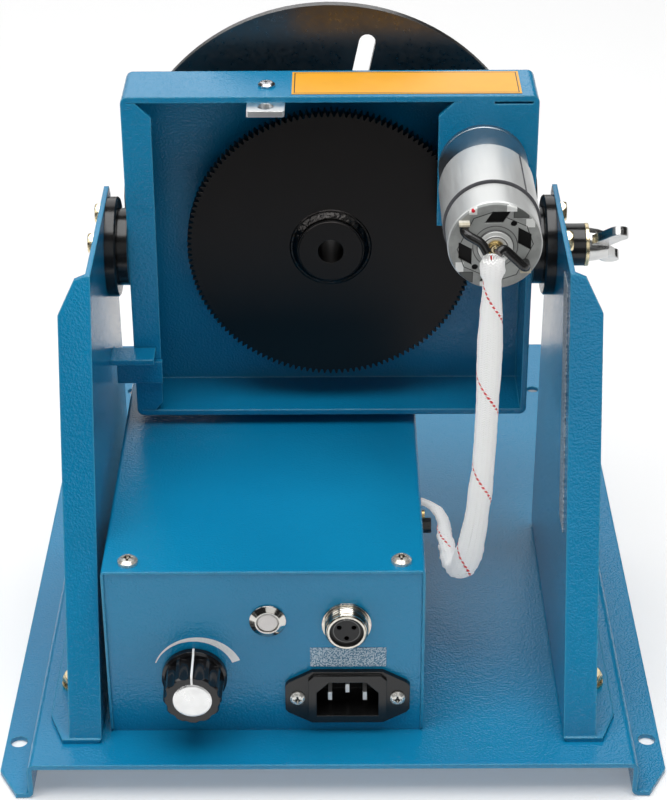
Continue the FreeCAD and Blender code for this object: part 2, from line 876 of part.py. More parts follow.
def power_inlet():
    body = new_body("power_inlet", x="inlet_x", z="inlet_z")
    face = "case_front"
    cx, cz = "inlet_half", "inlet_half_high"
    dx, dz = "inlet_slope_x", "inlet_slope_z"
    steps = [(dx, "0"), ("1.6", f"{dz} - 1"), ("0.3", f"{dz} + 0.6")]
    quarters = ((-1, -1, steps[::-1]), (1, -1, steps), (1, 1, steps[::-1]), (-1, 1, steps))
    plate = []
    for a, b, path in quarters:
        plate += [(f"{a} * ({cx} - ({x}))", f"{b} * ({cz} - ({z}))") for x, z in path]
    pad(body, "y", f"{face} - inlet_thick", face, plate)
    w, h, c = "inlet_mid_half", "inlet_mid_half_high", "inlet_mid_cut"
    rim = [(f"-{w} + {c}", f"-{h}"), (f"{w} - {c}", f"-{h}"), (w, f"-{h} + {c}"), (w, f"{h} - {c}")]
    rim += [(f"{w} - {c}", h), (f"-{w} + {c}", h), (f"-{w}", f"{h} - {c}"), (f"-{w}", f"-{h} + {c}")]
    pad(body, "y", f"{face} - inlet_out", face, rim)
    back = f"{face} + inlet_deep"
    pad(
        body,
        "y",
        face,
        back,
        box_line("-inlet_body_half", "-inlet_body_half_high", "inlet_body_half", "inlet_body_half_high"),
    )
    w, h, c = "inlet_open_half", "inlet_open_half_high", "inlet_open_cut"
    mouth = [
        (f"-{w}", f"-{h}"),
        (w, f"-{h}"),
        (w, f"{h} - {c}"),
        (f"{w} - {c}", h),
        (f"{c} - {w}", h),
        (f"-{w}", f"{h} - {c}"),
    ]
    cut(body, "y", f"{face} - inlet_out", f"{back} - 2", mouth)
    cut(
        body,
        "y",
        f"{back} - 2",
        back,
        *[
            box_line(f"{x} - pin_half", f"{z} - pin_high", f"{x} + pin_half", f"{z} + pin_high")
            for x, z in pin_spots
        ],
    )
    screws = [(f"{s} * inlet_screw_gap", "0", "1.5 + fit_run") for s in (1, -1)]
    cut(body, "y", f"{face} - inlet_thick", face, *screws)
    return body


pin_spots = (("-pin_gap", "-2"), ("0", "1.8"), ("pin_gap", "-2"))


def inlet_pins():
    body = new_body("inlet_pins", x="inlet_x", z="inlet_z")
    ends = ("case_front + 1.5", "case_front + inlet_deep + 6")
    outlines = [
        box_line(f"{x} - pin_half", f"{z} - pin_high", f"{x} + pin_half", f"{z} + pin_high")
        for x, z in pin_spots
    ]
    pad(body, "y", *ends, *outlines)
    return body


def inlet_screws():
    screw = pan_screw("inlet_screw", "1.5", "inlet_screw_head", "1.9", "7")
    spots = [
        dict(
            x=f"inlet_x + {s} * inlet_screw_gap",
            y="case_front - inlet_thick",
            z="inlet_z",
            axis=(1, 0, 0),
            turn=90,
        )
        for s in (1, -1)
    ]
    return copies("inlet_screws", screw, spots)


def pedal_socket():
    body = new_body("pedal_socket", x="socket_x", z="socket_z")
    face = "case_front"
    front = f"{face} - socket_out"
    thread = []
    for k in range(4):
        thread += [
            (f"{front} + {0.9 + k:.1f}", "socket_r + 0.1"), (f"{front} + {1.4 + k:.1f}", "socket_r + 0.6")
        ]
    turn(
        body,
        "y",
        [(front, "socket_insert"), (front, "socket_r - 0.4"), (f"{front} + 0.5", "socket_r")]
        + thread
        + [
            (f"{face} - socket_flange_thick", "socket_r + 0.6"),
            (f"{face} - socket_flange_thick", "socket_flange"),
            (face, "socket_flange"),
            (face, "socket_r"),
            (f"{face} + socket_deep", "socket_r"),
            (f"{face} + socket_deep", "0"),
            (f"{front} + 1.2", "0"),
            (f"{front} + 1.2", "socket_insert"),
        ],
    )
    holes = []
    for angle in (30, 150, 270):
        a, b = math.cos(math.radians(angle)), math.sin(math.radians(angle))
        holes.append((f"socket_insert * 0.5 * {a:.5f}", f"socket_insert * 0.5 * {b:.5f}", "1"))
    cut(body, "y", f"{front} + 1.2", f"{front} + 5", *holes)
    cut(
        body,
        "y",
        f"{front} + 1.2",
        f"{front} + 4",
        box_line("-0.9", "socket_insert - 1.4", "0.9", "socket_insert"),
    )
    return body


def power_switch():
    body = new_body("power_switch", x="button_x", z="button_z")
    face = "case_front"
    bore = "button_r + fit_run"
    turn(
        body,
        "y",
        [
            (f"{face} - bezel_thick", bore),
            (f"{face} - bezel_thick", "button_r + 0.6"),
            (f"{face} - bezel_thick * 0.35", "bezel_r"),
            (face, "bezel_r"),
            (face, "switch_r"),
            (f"{face} + switch_deep", "switch_r"),
            (f"{face} + switch_deep", "0"),
            (f"{face} + 8", "0"),
            (f"{face} + 8", bore),
        ],
    )
    return body


def power_button():
    body = new_body("power_button", x="button_x", z="button_z")
    front = "case_front - button_out"
    rear = "case_front + 8 - button_travel - fit_drop"
    rim = [
        (front, "0"),
        (front, "button_r - 0.5"),
        (f"{front} + 0.5", "button_r"),
        (rear, "button_r"),
        (rear, "0"),
    ]
    turn(body, "y", rim)
    return body


def potentiometer():
    body = new_body("potentiometer", x="knob_x", z="knob_z")
    inner = "case_front + case_sheet"
    turn(
        body,
        "y",
        [
            (f"{inner} - pot_bush_long", "pot_shaft_r + fit_run"),
            (f"{inner} - pot_bush_long", "pot_bush_r"),
            (inner, "pot_bush_r"),
            (inner, "pot_r"),
            (f"{inner} + pot_deep", "pot_r"),
            (f"{inner} + pot_deep", "0"),
            (f"{inner} + 4", "0"),
            (f"{inner} + 4", "pot_shaft_r + fit_run"),
        ],
    )
    pad(body, "z", "-pot_r - 8", "0", box_line("-6", f"{inner} + 5", "6", f"{inner} + 6.5"))
    return body


def pot_shaft():
    body = new_body("pot_shaft", x="knob_x", z="knob_z")
    pad(
        body,
        "y",
        "case_front - knob_high + 4",
        "case_front + case_sheet + 4 - fit_drop",
        ("0", "0", "pot_shaft_r"),
    )
    return body


def speed_knob():
    body = new_body("speed_knob", x="knob_x", z="knob_z")
    back, front = "case_front - fit_drop", "case_front - knob_high"
    turn(
        body,
        "y",
        [
            (back, "6.5"),
            (back, "knob_r"),
            (f"{back} - knob_skirt", "knob_r"),
            (f"{back} - knob_skirt - 0.8", "knob_body_r"),
            (f"{front} + 0.8", "knob_tip_r"),
            (front, "knob_tip_r - 0.8"),
            (front, "knob_cap_r"),
            (f"{front} + knob_cap_thick", "knob_cap_r"),
            (f"{front} + knob_cap_thick", "0"),
            (f"{front} + 4", "0"),
            (f"{front} + 4", "pot_shaft_r"),
            ("case_front - 6.5", "pot_shaft_r"),
            ("case_front - 6.5", "6.5"),
        ],
    )
    flute = ("knob_flute_ring * 0.25882", "knob_flute_ring * 0.96593", "knob_flute_r")
    groove = cut(body, "y", f"{front} - 0.1", f"{back} - knob_skirt - 0.8", flute)
    repeat(body, [groove], 12)
    return body


def knob_cap():
    body = new_body("knob_cap", x="knob_x", z="knob_z")
    front = "case_front - knob_high"
    rim = [(f"{front} - 0.3", "0"), (f"{front} - 0.3", "knob_cap_r - 0.8"), (front, "knob_cap_r")]
    rim += [(f"{front} + knob_cap_thick", "knob_cap_r"), (f"{front} + knob_cap_thick", "0")]
    turn(body, "y", rim)
    return body


def front_label():
    body = new_body("front_label")
    pad(
        body,
        "y",
        "case_front - mark_thick",
        "case_front",
        box_line("label_left", "label_low", "label_right", "label_high"),
    )
    return body


def boards():
    corners = [
        (x, y)
        for x in ("board_left + board_inset", "board_right - board_inset")
        for y in ("board_front + board_inset", "board_back - board_inset")
    ]
    body = new_body("power_board")
    pad(
        body,
        "z",
        "board_low",
        "board_low + board_thick",
        box_line("board_left", "board_front", "board_right", "board_back"),
    )
    cut(body, "z", "board_low", "board_low + board_thick", *[(x, y, "1.5 + fit_run") for x, y in corners])
    node(body)
    legs = new_body("standoffs")
    pad(legs, "z", "plate_top + case_sheet", "board_low", *[(x, y, "standoff_r") for x, y in corners])
    pad(legs, "z", "board_low", "board_low + board_thick + 2", *[(x, y, "1.5") for x, y in corners])
    node(legs)
    top = "board_low + board_thick"
    parts = new_body("board_parts")
    pad(
        parts,
        "z",
        top,
        f"{top} + 26",
        box_line("board_left + 12", "board_back - 46", "board_left + 48", "board_back - 14"),
    )
    pad(
        parts,
        "z",
        top,
        f"{top} + 24",
        box_line("board_right - 34", "board_back - 18", "board_right - 8", "board_back - 14"),
    )
    pad(parts, "z", top, f"{top} + 22", ("board_right - 20", "board_back - 34", "8"))
    pad(parts, "z", top, f"{top} + 16", ("board_right - 38", "board_back - 36", "5"))
    pad(
        parts,
        "z",
        top,
        f"{top} + 10",
        box_line("board_left + 14", "board_front + 14", "board_left + 40", "board_front + 22"),
    )
    pad(
        parts,
        "z",
        top,
        f"{top} + 4",
        box_line("board_left + 54", "board_front + 34", "board_left + 62", "board_front + 44"),
    )
    node(parts)


# tilting box


def tilt_box():
    body = new_body("tilt_box")
    pad(body, "y", "box_front", "box_back", box_line("-box_half", "box_low", "box_half", "box_top"))

    def bend(edge):
        spot = edge.CenterOfMass
        return runs_along(edge, "y") or spot.y > num("box_back") - 0.01

    soften(body, "Fillet", "box_bend", bend)
    cut(
        body,
        "y",
        "box_front",
        "box_inner_back",
        box_line("-box_wall", "box_floor", "box_wall", "box_ceiling"),
    )
    lip = [
        ("-box_wall - 0.5", "box_floor + box_slit"),
        ("-lip_low_edge - lip_low_cut", "box_floor + box_slit"),
        ("-lip_low_edge", "box_floor + lip_low_rise + box_slit"),
        ("-lip_edge", "box_ceiling - lip_cut - box_slit"),
        ("-lip_edge - lip_cut", "box_ceiling - box_slit"),
        ("-box_wall - 0.5", "box_ceiling - box_slit"),
    ]
    pad(body, "y", "box_front", "box_plate_back", lip)
    plate = [
        ("plate_left", "plate_low"),
        ("box_wall + 0.5", "plate_low"),
        ("box_wall + 0.5", "box_ceiling - plate_slot"),
        ("plate_tab_right", "box_ceiling - plate_slot"),
        ("plate_tab_right", "box_ceiling + 0.5"),
        ("plate_tab_left", "box_ceiling + 0.5"),
        ("plate_tab_left", "box_ceiling - box_slit"),
        ("plate_left + plate_cut", "box_ceiling - box_slit"),
        ("plate_left", "box_ceiling - plate_cut - box_slit"),
    ]
    pad(body, "y", "box_front", "box_plate_back", plate)
    drill = [("pinion_x", "pinion_z", "boss_r + fit_drop")]
    drill += [(f"motor_x + {x}", f"motor_z + {z}", "1.5 + fit_run") for x, z in motor_spots]
    cut(body, "y", "box_front", "box_plate_back", *drill)
    drill = [("0", "axis_z", "housing_r + fit_run")]
    drill += [(x, f"axis_z + {z}", "small_shank + fit_run") for x, z in housing_spots]
    drill += [("0", "holder_hole_z", "small_shank + fit_run")]
    cut(body, "y", "box_inner_back", "box_back", *drill)
    for side in (1, -1):
        cut(body, "x", *span(side, "box_wall", "box_half"), ("axis_y", "axis_z", "neck_r + fit_run"))
    cut(body, "z", "box_ceiling", "box_top", ("bar_x", "bar_screw_y", "small_shank + fit_run"))
    return body


motor_spots = []
housing_spots = []
for angle in (45, 135, 225, 315):
    a, b = math.cos(math.radians(angle)), math.sin(math.radians(angle))
    motor_spots.append((f"screw_ring * {a:.5f}", f"screw_ring * {b:.5f}"))
    housing_spots.append((f"housing_screw_ring * {a:.5f}", f"housing_screw_ring * {b:.5f}"))


def stop_tab():
    body = new_body("stop_tab")
    pad(
        body,
        "y",
        "box_front - tab_thick",
        "box_front",
        box_line("-tab_out", "tab_low", "-tab_in", "tab_high"),
    )
    return body


def stub(side, label):
    body = new_body(label, y="axis_y", z="axis_z")
    far = [("disc_face - fit_face", "shaft_r")]
    if side > 0:
        far += [("barrel_right - 0.2", "shaft_r"), ("barrel_right - 0.2", "stud_r")]
        far += [("stud_end - 0.6", "stud_r"), ("stud_end", "stud_r - 0.6"), ("stud_end", "0")]
    else:
        far += [("clip_near", "shaft_r"), ("clip_near", "clip_groove"), ("clip_far", "clip_groove")]
        far += [("clip_far", "shaft_r"), ("clip_far + 1", "shaft_r - 0.3"), ("clip_far + 1", "0")]
    profile = [
        ("box_wall - rivet_thick", "0"),
        ("box_wall - rivet_thick", "rivet_r - 0.8"),
        ("box_wall", "rivet_r"),
        ("box_wall", "neck_r"),
        ("box_half", "neck_r"),
        ("box_half", "collar_r"),
        ("disc_face - fit_face", "collar_r"),
    ]
    turn(body, "x", [(f"{side} * ({along})", radius) for along, radius in profile + far])
    return body


def circlip():
    body = new_body("circlip", y="axis_y", z="axis_z")
    pad(body, "x", "-clip_far", "-clip_near", ("0", "0", "clip_r"), ("0", "0", "clip_groove"))
    cut(body, "x", "-clip_far", "-clip_near", box_line("-1.2", "-clip_r - 1", "1.2", "0"))
    return body


def bearing_housing():
    body = new_body("bearing_housing", z="axis_z")
    inner_a, inner_b = "bearing_front + bearing_wide", "bearing_rear"
    turn(
        body,
        "y",
        [
            ("housing_front", "bearing_out"),
            ("housing_front", "housing_r"),
            ("box_back", "housing_r"),
            ("box_back", "housing_flange_r"),
            ("box_back + housing_flange_thick", "housing_flange_r"),
            ("box_back + housing_flange_thick", "housing_r"),
            ("housing_end", "housing_r"),
            ("housing_end", "bearing_out"),
            (inner_b, "bearing_out"),
            (inner_b, "housing_step"),
            (inner_a, "housing_step"),
            (inner_a, "bearing_out"),
        ],
    )
    cut(
        body,
        "y",
        "box_back",
        "box_back + housing_flange_thick",
        *[(x, z, "small_shank + fit_run") for x, z in housing_spots],
    )
    return body


def bearings():
    ring = new_body("bearing", z="0")
    middle = "(journal_r + bearing_out) / 2"
    turn(
        ring,
        "y",
        [
            ("0", "journal_r"),
            ("0", f"{middle} - 1"),
            ("0.7", f"{middle} - 1"),
            ("0.7", f"{middle} + 1"),
            ("0", f"{middle} + 1"),
            ("0", "bearing_out"),
            ("bearing_wide", "bearing_out"),
            ("bearing_wide", f"{middle} + 1"),
            ("bearing_wide - 0.7", f"{middle} + 1"),
            ("bearing_wide - 0.7", f"{middle} - 1"),
            ("bearing_wide", f"{middle} - 1"),
            ("bearing_wide", "journal_r"),
        ],
    )
    return copies("bearings", ring, [dict(y=y, z="axis_z") for y in ("bearing_front", "bearing_rear")])


def box_screws():
    screw = pan_screw(
        "housing_screw",
        "small_shank",
        "small_head",
        "small_head_high",
        "housing_flange_thick + box_steel + 1",
    )
    spots = [
        dict(x=x, y="box_back + housing_flange_thick", z=f"axis_z + {z}", axis=(1, 0, 0), turn=-90)
        for x, z in housing_spots
    ]
    node(copies("housing_screws", screw, spots))
    screw = pan_screw("motor_screw", "1.5", "2.75", "1.8", "box_steel + 3")
    spots = [
        dict(x=f"motor_x + {x}", y="box_plate_back", z=f"motor_z + {z}", axis=(1, 0, 0), turn=-90)
        for x, z in motor_spots
    ]
    node(copies("motor_screws", screw, spots))


def gearbox():
    body = new_body("gearbox", x="motor_x", z="motor_z")
    turn(
        body,
        "y",
        [
            ("gearbox_end", "0"),
            ("gearbox_end", "gearbox_r"),
            ("box_front - 3.4", "gearbox_r"),
            ("box_front - 3.2", "gearbox_r - 0.5"),
            ("box_front - 2.8", "gearbox_r - 0.5"),
            ("box_front - 2.6", "gearbox_r"),
            ("box_front", "gearbox_r"),
            ("box_front", "0"),
        ],
    )
    shift = ("pinion_x - motor_x", "pinion_z - motor_z")
    pad(body, "y", "box_front", "box_front + boss_long", (*shift, "boss_r"))
    cut(body, "y", "box_front - 4", "box_front + boss_long", (*shift, "output_r + fit_run"))
    cut(body, "y", "box_front - 3", "box_front", *[(x, z, "1.5") for x, z in motor_spots])
    return body


def motor_can():
    body = new_body("motor_can", x="motor_x", z="motor_z")
    turn(
        body,
        "y",
        [
            ("can_end", "0"),
            ("can_end", "can_r - 0.5"),
            ("can_end + 0.5", "can_r"),
            ("can_seam - 1", "can_r"),
            ("can_seam - 1", "can_r - 0.7"),
            ("can_seam", "can_r - 0.7"),
            ("can_seam", "ring_r"),
            ("gearbox_end - neck_long", "ring_r"),
            ("gearbox_end - neck_long", "can_r - 0.6"),
            ("gearbox_end", "can_r - 0.6"),
            ("gearbox_end", "0"),
        ],
    )
    lean = math.radians(num("seam_angle"))
    across, up = f"{math.cos(lean):.5f}", f"{math.sin(lean):.5f}"
    corners = []
    for out, side in (("ring_r - 0.5", -1), ("ring_r + 1", -1), ("ring_r + 1", 1), ("ring_r - 0.5", 1)):
        x = f"({out}) * {across} - {side} * seam_half * {up}"
        z = f"({out}) * {up} + {side} * seam_half * {across}"
        corners.append((x, z))
    cut(body, "y", "can_seam", "gearbox_end - neck_long", corners)
    return body


def motor_cap():
    body = new_body("motor_cap", x="motor_x", z="motor_z")
    turn(
        body,
        "y",
        [
            ("cap_boss", "brass_r"),
            ("cap_boss", "cap_boss_r - 2.2"),
            ("cap_boss + 0.5", "cap_boss_r - 1.8"),
            ("cap_boss + 0.5", "cap_boss_r - 0.4"),
            ("cap_boss + 0.9", "cap_boss_r"),
            ("cap_face", "cap_boss_r"),
            ("cap_face", "can_r - 0.8"),
            ("cap_face + 0.4", "can_r - 0.4"),
            ("can_end", "can_r - 0.4"),
            ("can_end", "brass_r"),
        ],
    )
    for across, up, tilt in ((0.6, 12.0, 0), (10.9, 3.2, 90), (-11.2, -2.8, 90), (-0.8, -12.2, 0)):
        half_a, half_b = (3.4, 2.3) if tilt == 0 else (2.5, 3.3)
        slant = 1.4
        if tilt == 0:
            window = [
                (f"{across - half_a - slant}", f"{up - half_b}"),
                (f"{across + half_a - slant}", f"{up - half_b}"),
                (f"{across + half_a + slant}", f"{up + half_b}"),
                (f"{across - half_a + slant}", f"{up + half_b}"),
            ]
        else:
            window = [
                (f"{across - half_a}", f"{up - half_b + slant}"),
                (f"{across + half_a}", f"{up - half_b - slant}"),
                (f"{across + half_a}", f"{up + half_b - slant}"),
                (f"{across - half_a}", f"{up + half_b + slant}"),
            ]
        cut(body, "y", "cap_face", "can_end - 0.2", window)
    cut(body, "y", "cap_face", "can_end - 0.2", ("6.7", "9.4", "1.2"), ("-7.4", "-8.4", "1.2"))
    return body


def motor_bearing():
    body = new_body("motor_bearing", x="motor_x", z="motor_z")
    turn(
        body,
        "y",
        [
            ("brass_end - 0.6", "0"),
            ("brass_end - 0.6", "1"),
            ("brass_end + 0.5", "1"),
            ("brass_end + 0.5", "1.6"),
            ("brass_end", "2.2"),
            ("brass_end", "brass_r - 0.6"),
            ("brass_end + 0.5", "brass_r"),
            ("can_end", "brass_r"),
            ("can_end", "0"),
        ],
    )
    return body


terminal_spots = (("-11.9", "10.4"), ("11.4", "-8.6"))


def motor_terminals():
    body = new_body("motor_terminals", x="motor_x", z="motor_z")
    for x, z in terminal_spots:
        pad(
            body,
            "y",
            "cap_face - 4.2",
            "cap_face",
            box_line(f"{x} - 2", f"{z} - 0.4", f"{x} + 2", f"{z} + 0.4"),
        )
    return body


def bent_tube(label, points, radius):
    """A round cord through straight runs and tangent arcs."""
    route = [FreeCAD.Vector(*point) for point in points]
    edges, joint = [], route[0]
    for before, corner, after in zip(route, route[1:], route[2:]):
        way_in = (corner - before).normalize()
        way_out = (after - corner).normalize()
        half = way_in.getAngle(way_out) / 2
        shorter = min((corner - before).Length, (after - corner).Length)
        reach = 0.45 * shorter
        bend = reach / math.tan(half)
        print(label, "bend radius", round(bend, 1), "turn", round(math.degrees(2 * half)))
        enter, leave = corner - way_in * reach, corner + way_out * reach
        middle = (enter + leave) / 2
        toward = (corner - middle).normalize()
        crown = corner - toward * (bend / math.cos(half) - bend)
        edges.append(Part.LineSegment(joint, enter).toShape())
        edges.append(Part.Arc(enter, crown, leave).toShape())
        joint = leave
    edges.append(Part.LineSegment(joint, route[-1]).toShape())
    wire = Part.Wire(edges)
    start = (route[1] - route[0]).normalize()
    ring = Part.Wire([Part.makeCircle(radius, route[0], start)])
    tube = wire.makePipeShell([ring], True, False)
    item = doc.addObject("Part::Feature", label)
    item.Label = label
    item.Shape = tube
    print(label, "volume ratio", round(tube.Volume / (wire.Length * math.pi * radius * radius), 3))
    return item


def motor_lead_sleeve():
    wall = num("case_right")
    exit_y, exit_z = num("lead_hole_y"), num("lead_hole_z")
    end_x = num("motor_x") - num("lead_side")
    end_y = num("axis_y") - num("lead_out")
    route = [
        (wall - 2, exit_y, exit_z),
        (wall + 10.6, exit_y - 5, exit_z + 1),
        (wall + 11.9, end_y + 24.5, exit_z - 11),
        (wall + 16.9, end_y + 10.5, exit_z - 13.5),
        (end_x - 2.9, end_y + 5.5, exit_z + 10),
        (end_x + 0.8, end_y + 3.5, exit_z + 61),
        (end_x, end_y, num("motor_z")),
    ]
    return bent_tube("motor_lead_sleeve", route, num("sleeve_r"))


def motor_wires():
    left, right = terminal_spots
    end_x = num("motor_x") - num("lead_side")
    end_y = num("axis_y") - num("lead_out")
    end = (end_x, end_y, num("motor_z") + 1.7)
    face = num("cap_face")
    x, z = num("motor_x"), num("motor_z")
    shapes = []
    for number, (spot, lean) in enumerate(((left, -1), (right, 1)), 1):
        start_x, start_z = x + float(spot[0]), z + float(spot[1])
        drop = 2.25 if lean > 0 else -2.25
        route = [
            (start_x, face - 0.6, start_z + drop),
            (start_x, face - 6.2, start_z + drop),
            (end[0] + lean * 4.0, end_y + 1.6, end[2] + 2.4 - lean),
            (end[0] + lean * 2.0, end_y, end[2]),
        ]
        item = bent_tube(f"motor_wire_{number}", route, num("wire_r"))
        shapes.append(item)
    group = doc.addObject("Part::Compound", "motor_wires")
    group.Label = "motor_wires"
    group.Links = shapes
    return group


def cable_terminal():
    body = new_body("cable_terminal", x="bar_x")
    c = "0.6"
    bar = [
        ("-bar_half", f"bar_front + {c}"),
        (f"-bar_half + {c}", "bar_front"),
        (f"bar_half - {c}", "bar_front"),
        ("bar_half", f"bar_front + {c}"),
        ("bar_half", "bar_back"),
        ("-bar_half", "bar_back"),
    ]
    pad(body, "z", "box_ceiling - bar_thick", "box_ceiling", bar)
    cut(
        body,
        "z",
        "box_ceiling - bar_thick",
        "box_ceiling",
        ("0", "bar_hole_y", "bar_hole"),
        ("0", "bar_screw_y", "small_shank + fit_run"),
    )
    return body


def terminal_screw():
    body = pan_screw("terminal_screw", "small_shank", "dome_r", "dome_high", "box_steel + bar_thick + 2.5")
    return place(body, x="bar_x", y="bar_screw_y", z="box_top")


def brush_parts():
    low = "axis_z + spacer_r"
    high = f"{low} + brush_high"
    holder = new_body("brush_holder")
    wide = "(brush_half + holder_thick)"
    pad(
        holder,
        "z",
        f"{high}",
        f"{high} + holder_thick",
        box_line(f"-{wide}", "brush_front", wide, "box_inner_back"),
    )
    pad(
        holder,
        "y",
        "box_inner_back - holder_thick",
        "box_inner_back",
        box_line(f"-{wide}", high, wide, f"{high} + holder_foot"),
    )
    for side in (1, -1):
        across = span(side, "brush_half + fit_run", wide)
        pad(
            holder,
            "x",
            *across,
            box_line("brush_front", f"{low} + 4", "brush_back", f"{high} + holder_thick"),
        )
    pad(holder, "y", "box_inner_back - 5", "box_back + 1", ("0", "holder_hole_z", "small_shank"))
    pad(
        holder,
        "y",
        "box_inner_back - holder_thick - 2",
        "box_inner_back - holder_thick",
        ("0", "holder_hole_z", "small_head"),
    )
    node(holder)
    brush = new_body("ground_brush")
    pad(brush, "y", "brush_front", "brush_back", box_line("-brush_half", "axis_z", "brush_half", high))
    cut(brush, "y", "brush_front", "brush_back", ("0", "axis_z", "spacer_r + fit_run"))
    cut(
        brush, "z", "axis_z", "axis_z + 8", box_line("-brush_half", "brush_front", "brush_half", "brush_back")
    )
    node(brush)


def top_label():
    body = new_body("top_label")
    pad(body, "z", "box_top", "box_top + mark_thick", box_line("-15.3", "-40", "76.9", "-15.5"))
    return body


# turning parts


def spindle():
    body = new_body("spindle", z="axis_z", axis=(0, 1, 0), turn=num("table_turn"))
    lip = "table_back + table_thick * 0.7"
    turn(
        body,
        "y",
        [
            ("hub_front", "spindle_bore"),
            ("hub_front", "hub_r - 0.6"),
            ("hub_front + 0.6", "hub_r"),
            ("gear_back", "hub_r"),
            ("gear_back", "journal_r"),
            ("bearing_rear + bearing_wide", "journal_r"),
            ("bearing_rear + bearing_wide", "shoulder_r"),
            ("shoulder_top", "shoulder_r"),
            ("shoulder_top", "hub_flange_r"),
            ("table_back", "hub_flange_r"),
            ("table_back", "table_bore"),
            (lip, "table_bore"),
            (lip, "spindle_bore"),
        ],
    )
    cut(body, "y", "shoulder_top", "table_back", *[(x, z, "small_shank") for x, z in table_spots])
    return body


table_spots = []
for angle in (0, 90, 180, 270):
    a, b = math.cos(math.radians(angle)), math.sin(math.radians(angle))
    table_spots.append((f"table_screw_ring * {a:.5f}", f"table_screw_ring * {b:.5f}"))


def spindle_spacer():
    body = new_body("spindle_spacer", z="axis_z")
    pad(body, "y", "gear_back", "bearing_front", ("0", "0", "spacer_r"), ("0", "0", "journal_r"))
    return body


def involute(angle):
    return math.tan(angle) - angle


def tooth_ring(teeth, size, play, lead, steps):
    """Involute tooth outline in the XZ plane, one tooth centred at the lead angle."""
    pitch_r = size * teeth / 2
    base_r = pitch_r * math.cos(math.radians(20))
    half = math.pi / (2 * teeth) - play / (2 * pitch_r) + involute(math.radians(20))
    flank = []
    for k in range(steps + 1):
        radius = pitch_r - 1.25 * size + 2.25 * size * k / steps
        press = math.acos(min(1.0, base_r / radius))
        flank.append((radius, half - involute(press)))
    points = []
    for tooth in range(teeth):
        centre = lead + math.tau * tooth / teeth
        for radius, turn_by in flank:
            points.append((radius, centre - turn_by))
        for radius, turn_by in reversed(flank):
            points.append((radius, centre + turn_by))
    corners = [FreeCAD.Vector(r * math.cos(a), 0, r * math.sin(a)) for r, a in points]
    return Part.Face(Part.makePolygon(corners + corners[:1]))


def toothed_blank(label, teeth, lead, steps, start, long):
    face = tooth_ring(teeth, num("tooth_size"), num("tooth_play"), lead, steps)
    item = doc.addObject("Part::Feature", label)
    item.Shape = face.extrude(FreeCAD.Vector(0, long, 0))
    return item


def fused(label, first, second):
    item = doc.addObject("Part::Fuse", label)
    item.Base, item.Tool = first, second
    return item


def bored(label, first, second):
    item = doc.addObject("Part::Cut", label)
    item.Base, item.Tool = first, second
    item.Label = label
    return item


def rod(label, radius, start, long, x="0", z="0"):
    item = doc.addObject("Part::Cylinder", label)
    item.setExpression("Radius", bound(radius))
    item.setExpression("Height", bound(long))
    return place(item, x=x, y=start, z=z, axis=(1, 0, 0), turn=-90)


def spur_gear():
    teeth = int(num("gear_teeth"))
    lead = math.radians(num("mesh_angle")) + math.pi / teeth
    blank = toothed_blank("gear_blank", teeth, lead, 1, 0, num("gear_thick"))
    place(blank, y="gear_front", z="axis_z")
    bead = doc.addObject("Part::Cone", "gear_weld")
    bead.setExpression("Radius1", bound("weld_r"))
    bead.setExpression("Radius2", bound("hub_r + 0.3"))
    bead.setExpression("Height", bound("weld_high"))
    place(bead, y="gear_front", z="axis_z", axis=(1, 0, 0), turn=90)
    whole = fused("gear_whole", blank, bead)
    bore = rod("gear_bore", "hub_r", "gear_front - weld_high - 1", "gear_thick + weld_high + 2", z="axis_z")
    return bored("spur_gear", whole, bore)


def pinion():
    teeth = int(num("pinion_teeth"))
    lead = math.radians(num("mesh_angle")) + math.pi
    blank = toothed_blank("pinion_blank", teeth, lead, 4, 0, num("pinion_long"))
    place(blank, x="pinion_x", y="pinion_front", z="pinion_z")
    shaft = rod(
        "pinion_shaft",
        "output_r",
        "box_front - 3.7",
        "pinion_front + pinion_long - box_front + 4.7",
        x="pinion_x",
        z="pinion_z",
    )
    item = fused("pinion", blank, shaft)
    item.Label = "pinion"
    return item


def table():
    body = new_body("table", z="axis_z", axis=(0, 1, 0), turn=num("table_turn"))
    pad(body, "y", "table_back", "table_front", ("0", "0", "table_r"), ("0", "0", "table_bore + fit_run"))
    cut(body, "y", "table_back", "table_front", *[(x, z, "small_shank + fit_run") for x, z in table_spots])

    def screw_mouth(edge):
        round_edge = isinstance(edge.Curve, Part.Circle) and edge.Curve.Radius < num("small_shank") + 0.2
        return round_edge and edge.CenterOfMass.y > num("table_front") - 0.01

    soften(body, "Chamfer", "countersink", screw_mouth)
    slot = [
        cut(
            body,
            "y",
            "table_back",
            "table_front",
            box_line("-table_slot_half", "table_slot_in", "table_slot_half", "table_slot_out"),
        ),
        cut(body, "y", "table_back", "table_front", ("0", "table_slot_in", "table_slot_half")),
        cut(body, "y", "table_back", "table_front", ("0", "table_slot_out", "table_slot_half")),
    ]
    repeat(body, slot, 3)
    return body


def table_screws():
    screw = new_body("table_screw")
    turn(
        screw,
        "z",
        [
            ("-table_thick - 4.5", "0"),
            ("-table_thick - 4.5", "small_shank"),
            ("-countersink - fit_run", "small_shank"),
            ("-fit_run", "small_shank + countersink"),
            ("-fit_run", "0"),
        ],
    )
    cut(screw, "z", "-1.8", "0", hexagon("0", "0", "1.25"))
    spots = [dict(x=x, y="table_front", z=z, axis=(1, 0, 0), turn=-90) for x, z in table_spots]
    group = copies("table_screws", screw, spots)
    return place(group, z="axis_z", axis=(0, 1, 0), turn=num("table_turn"))


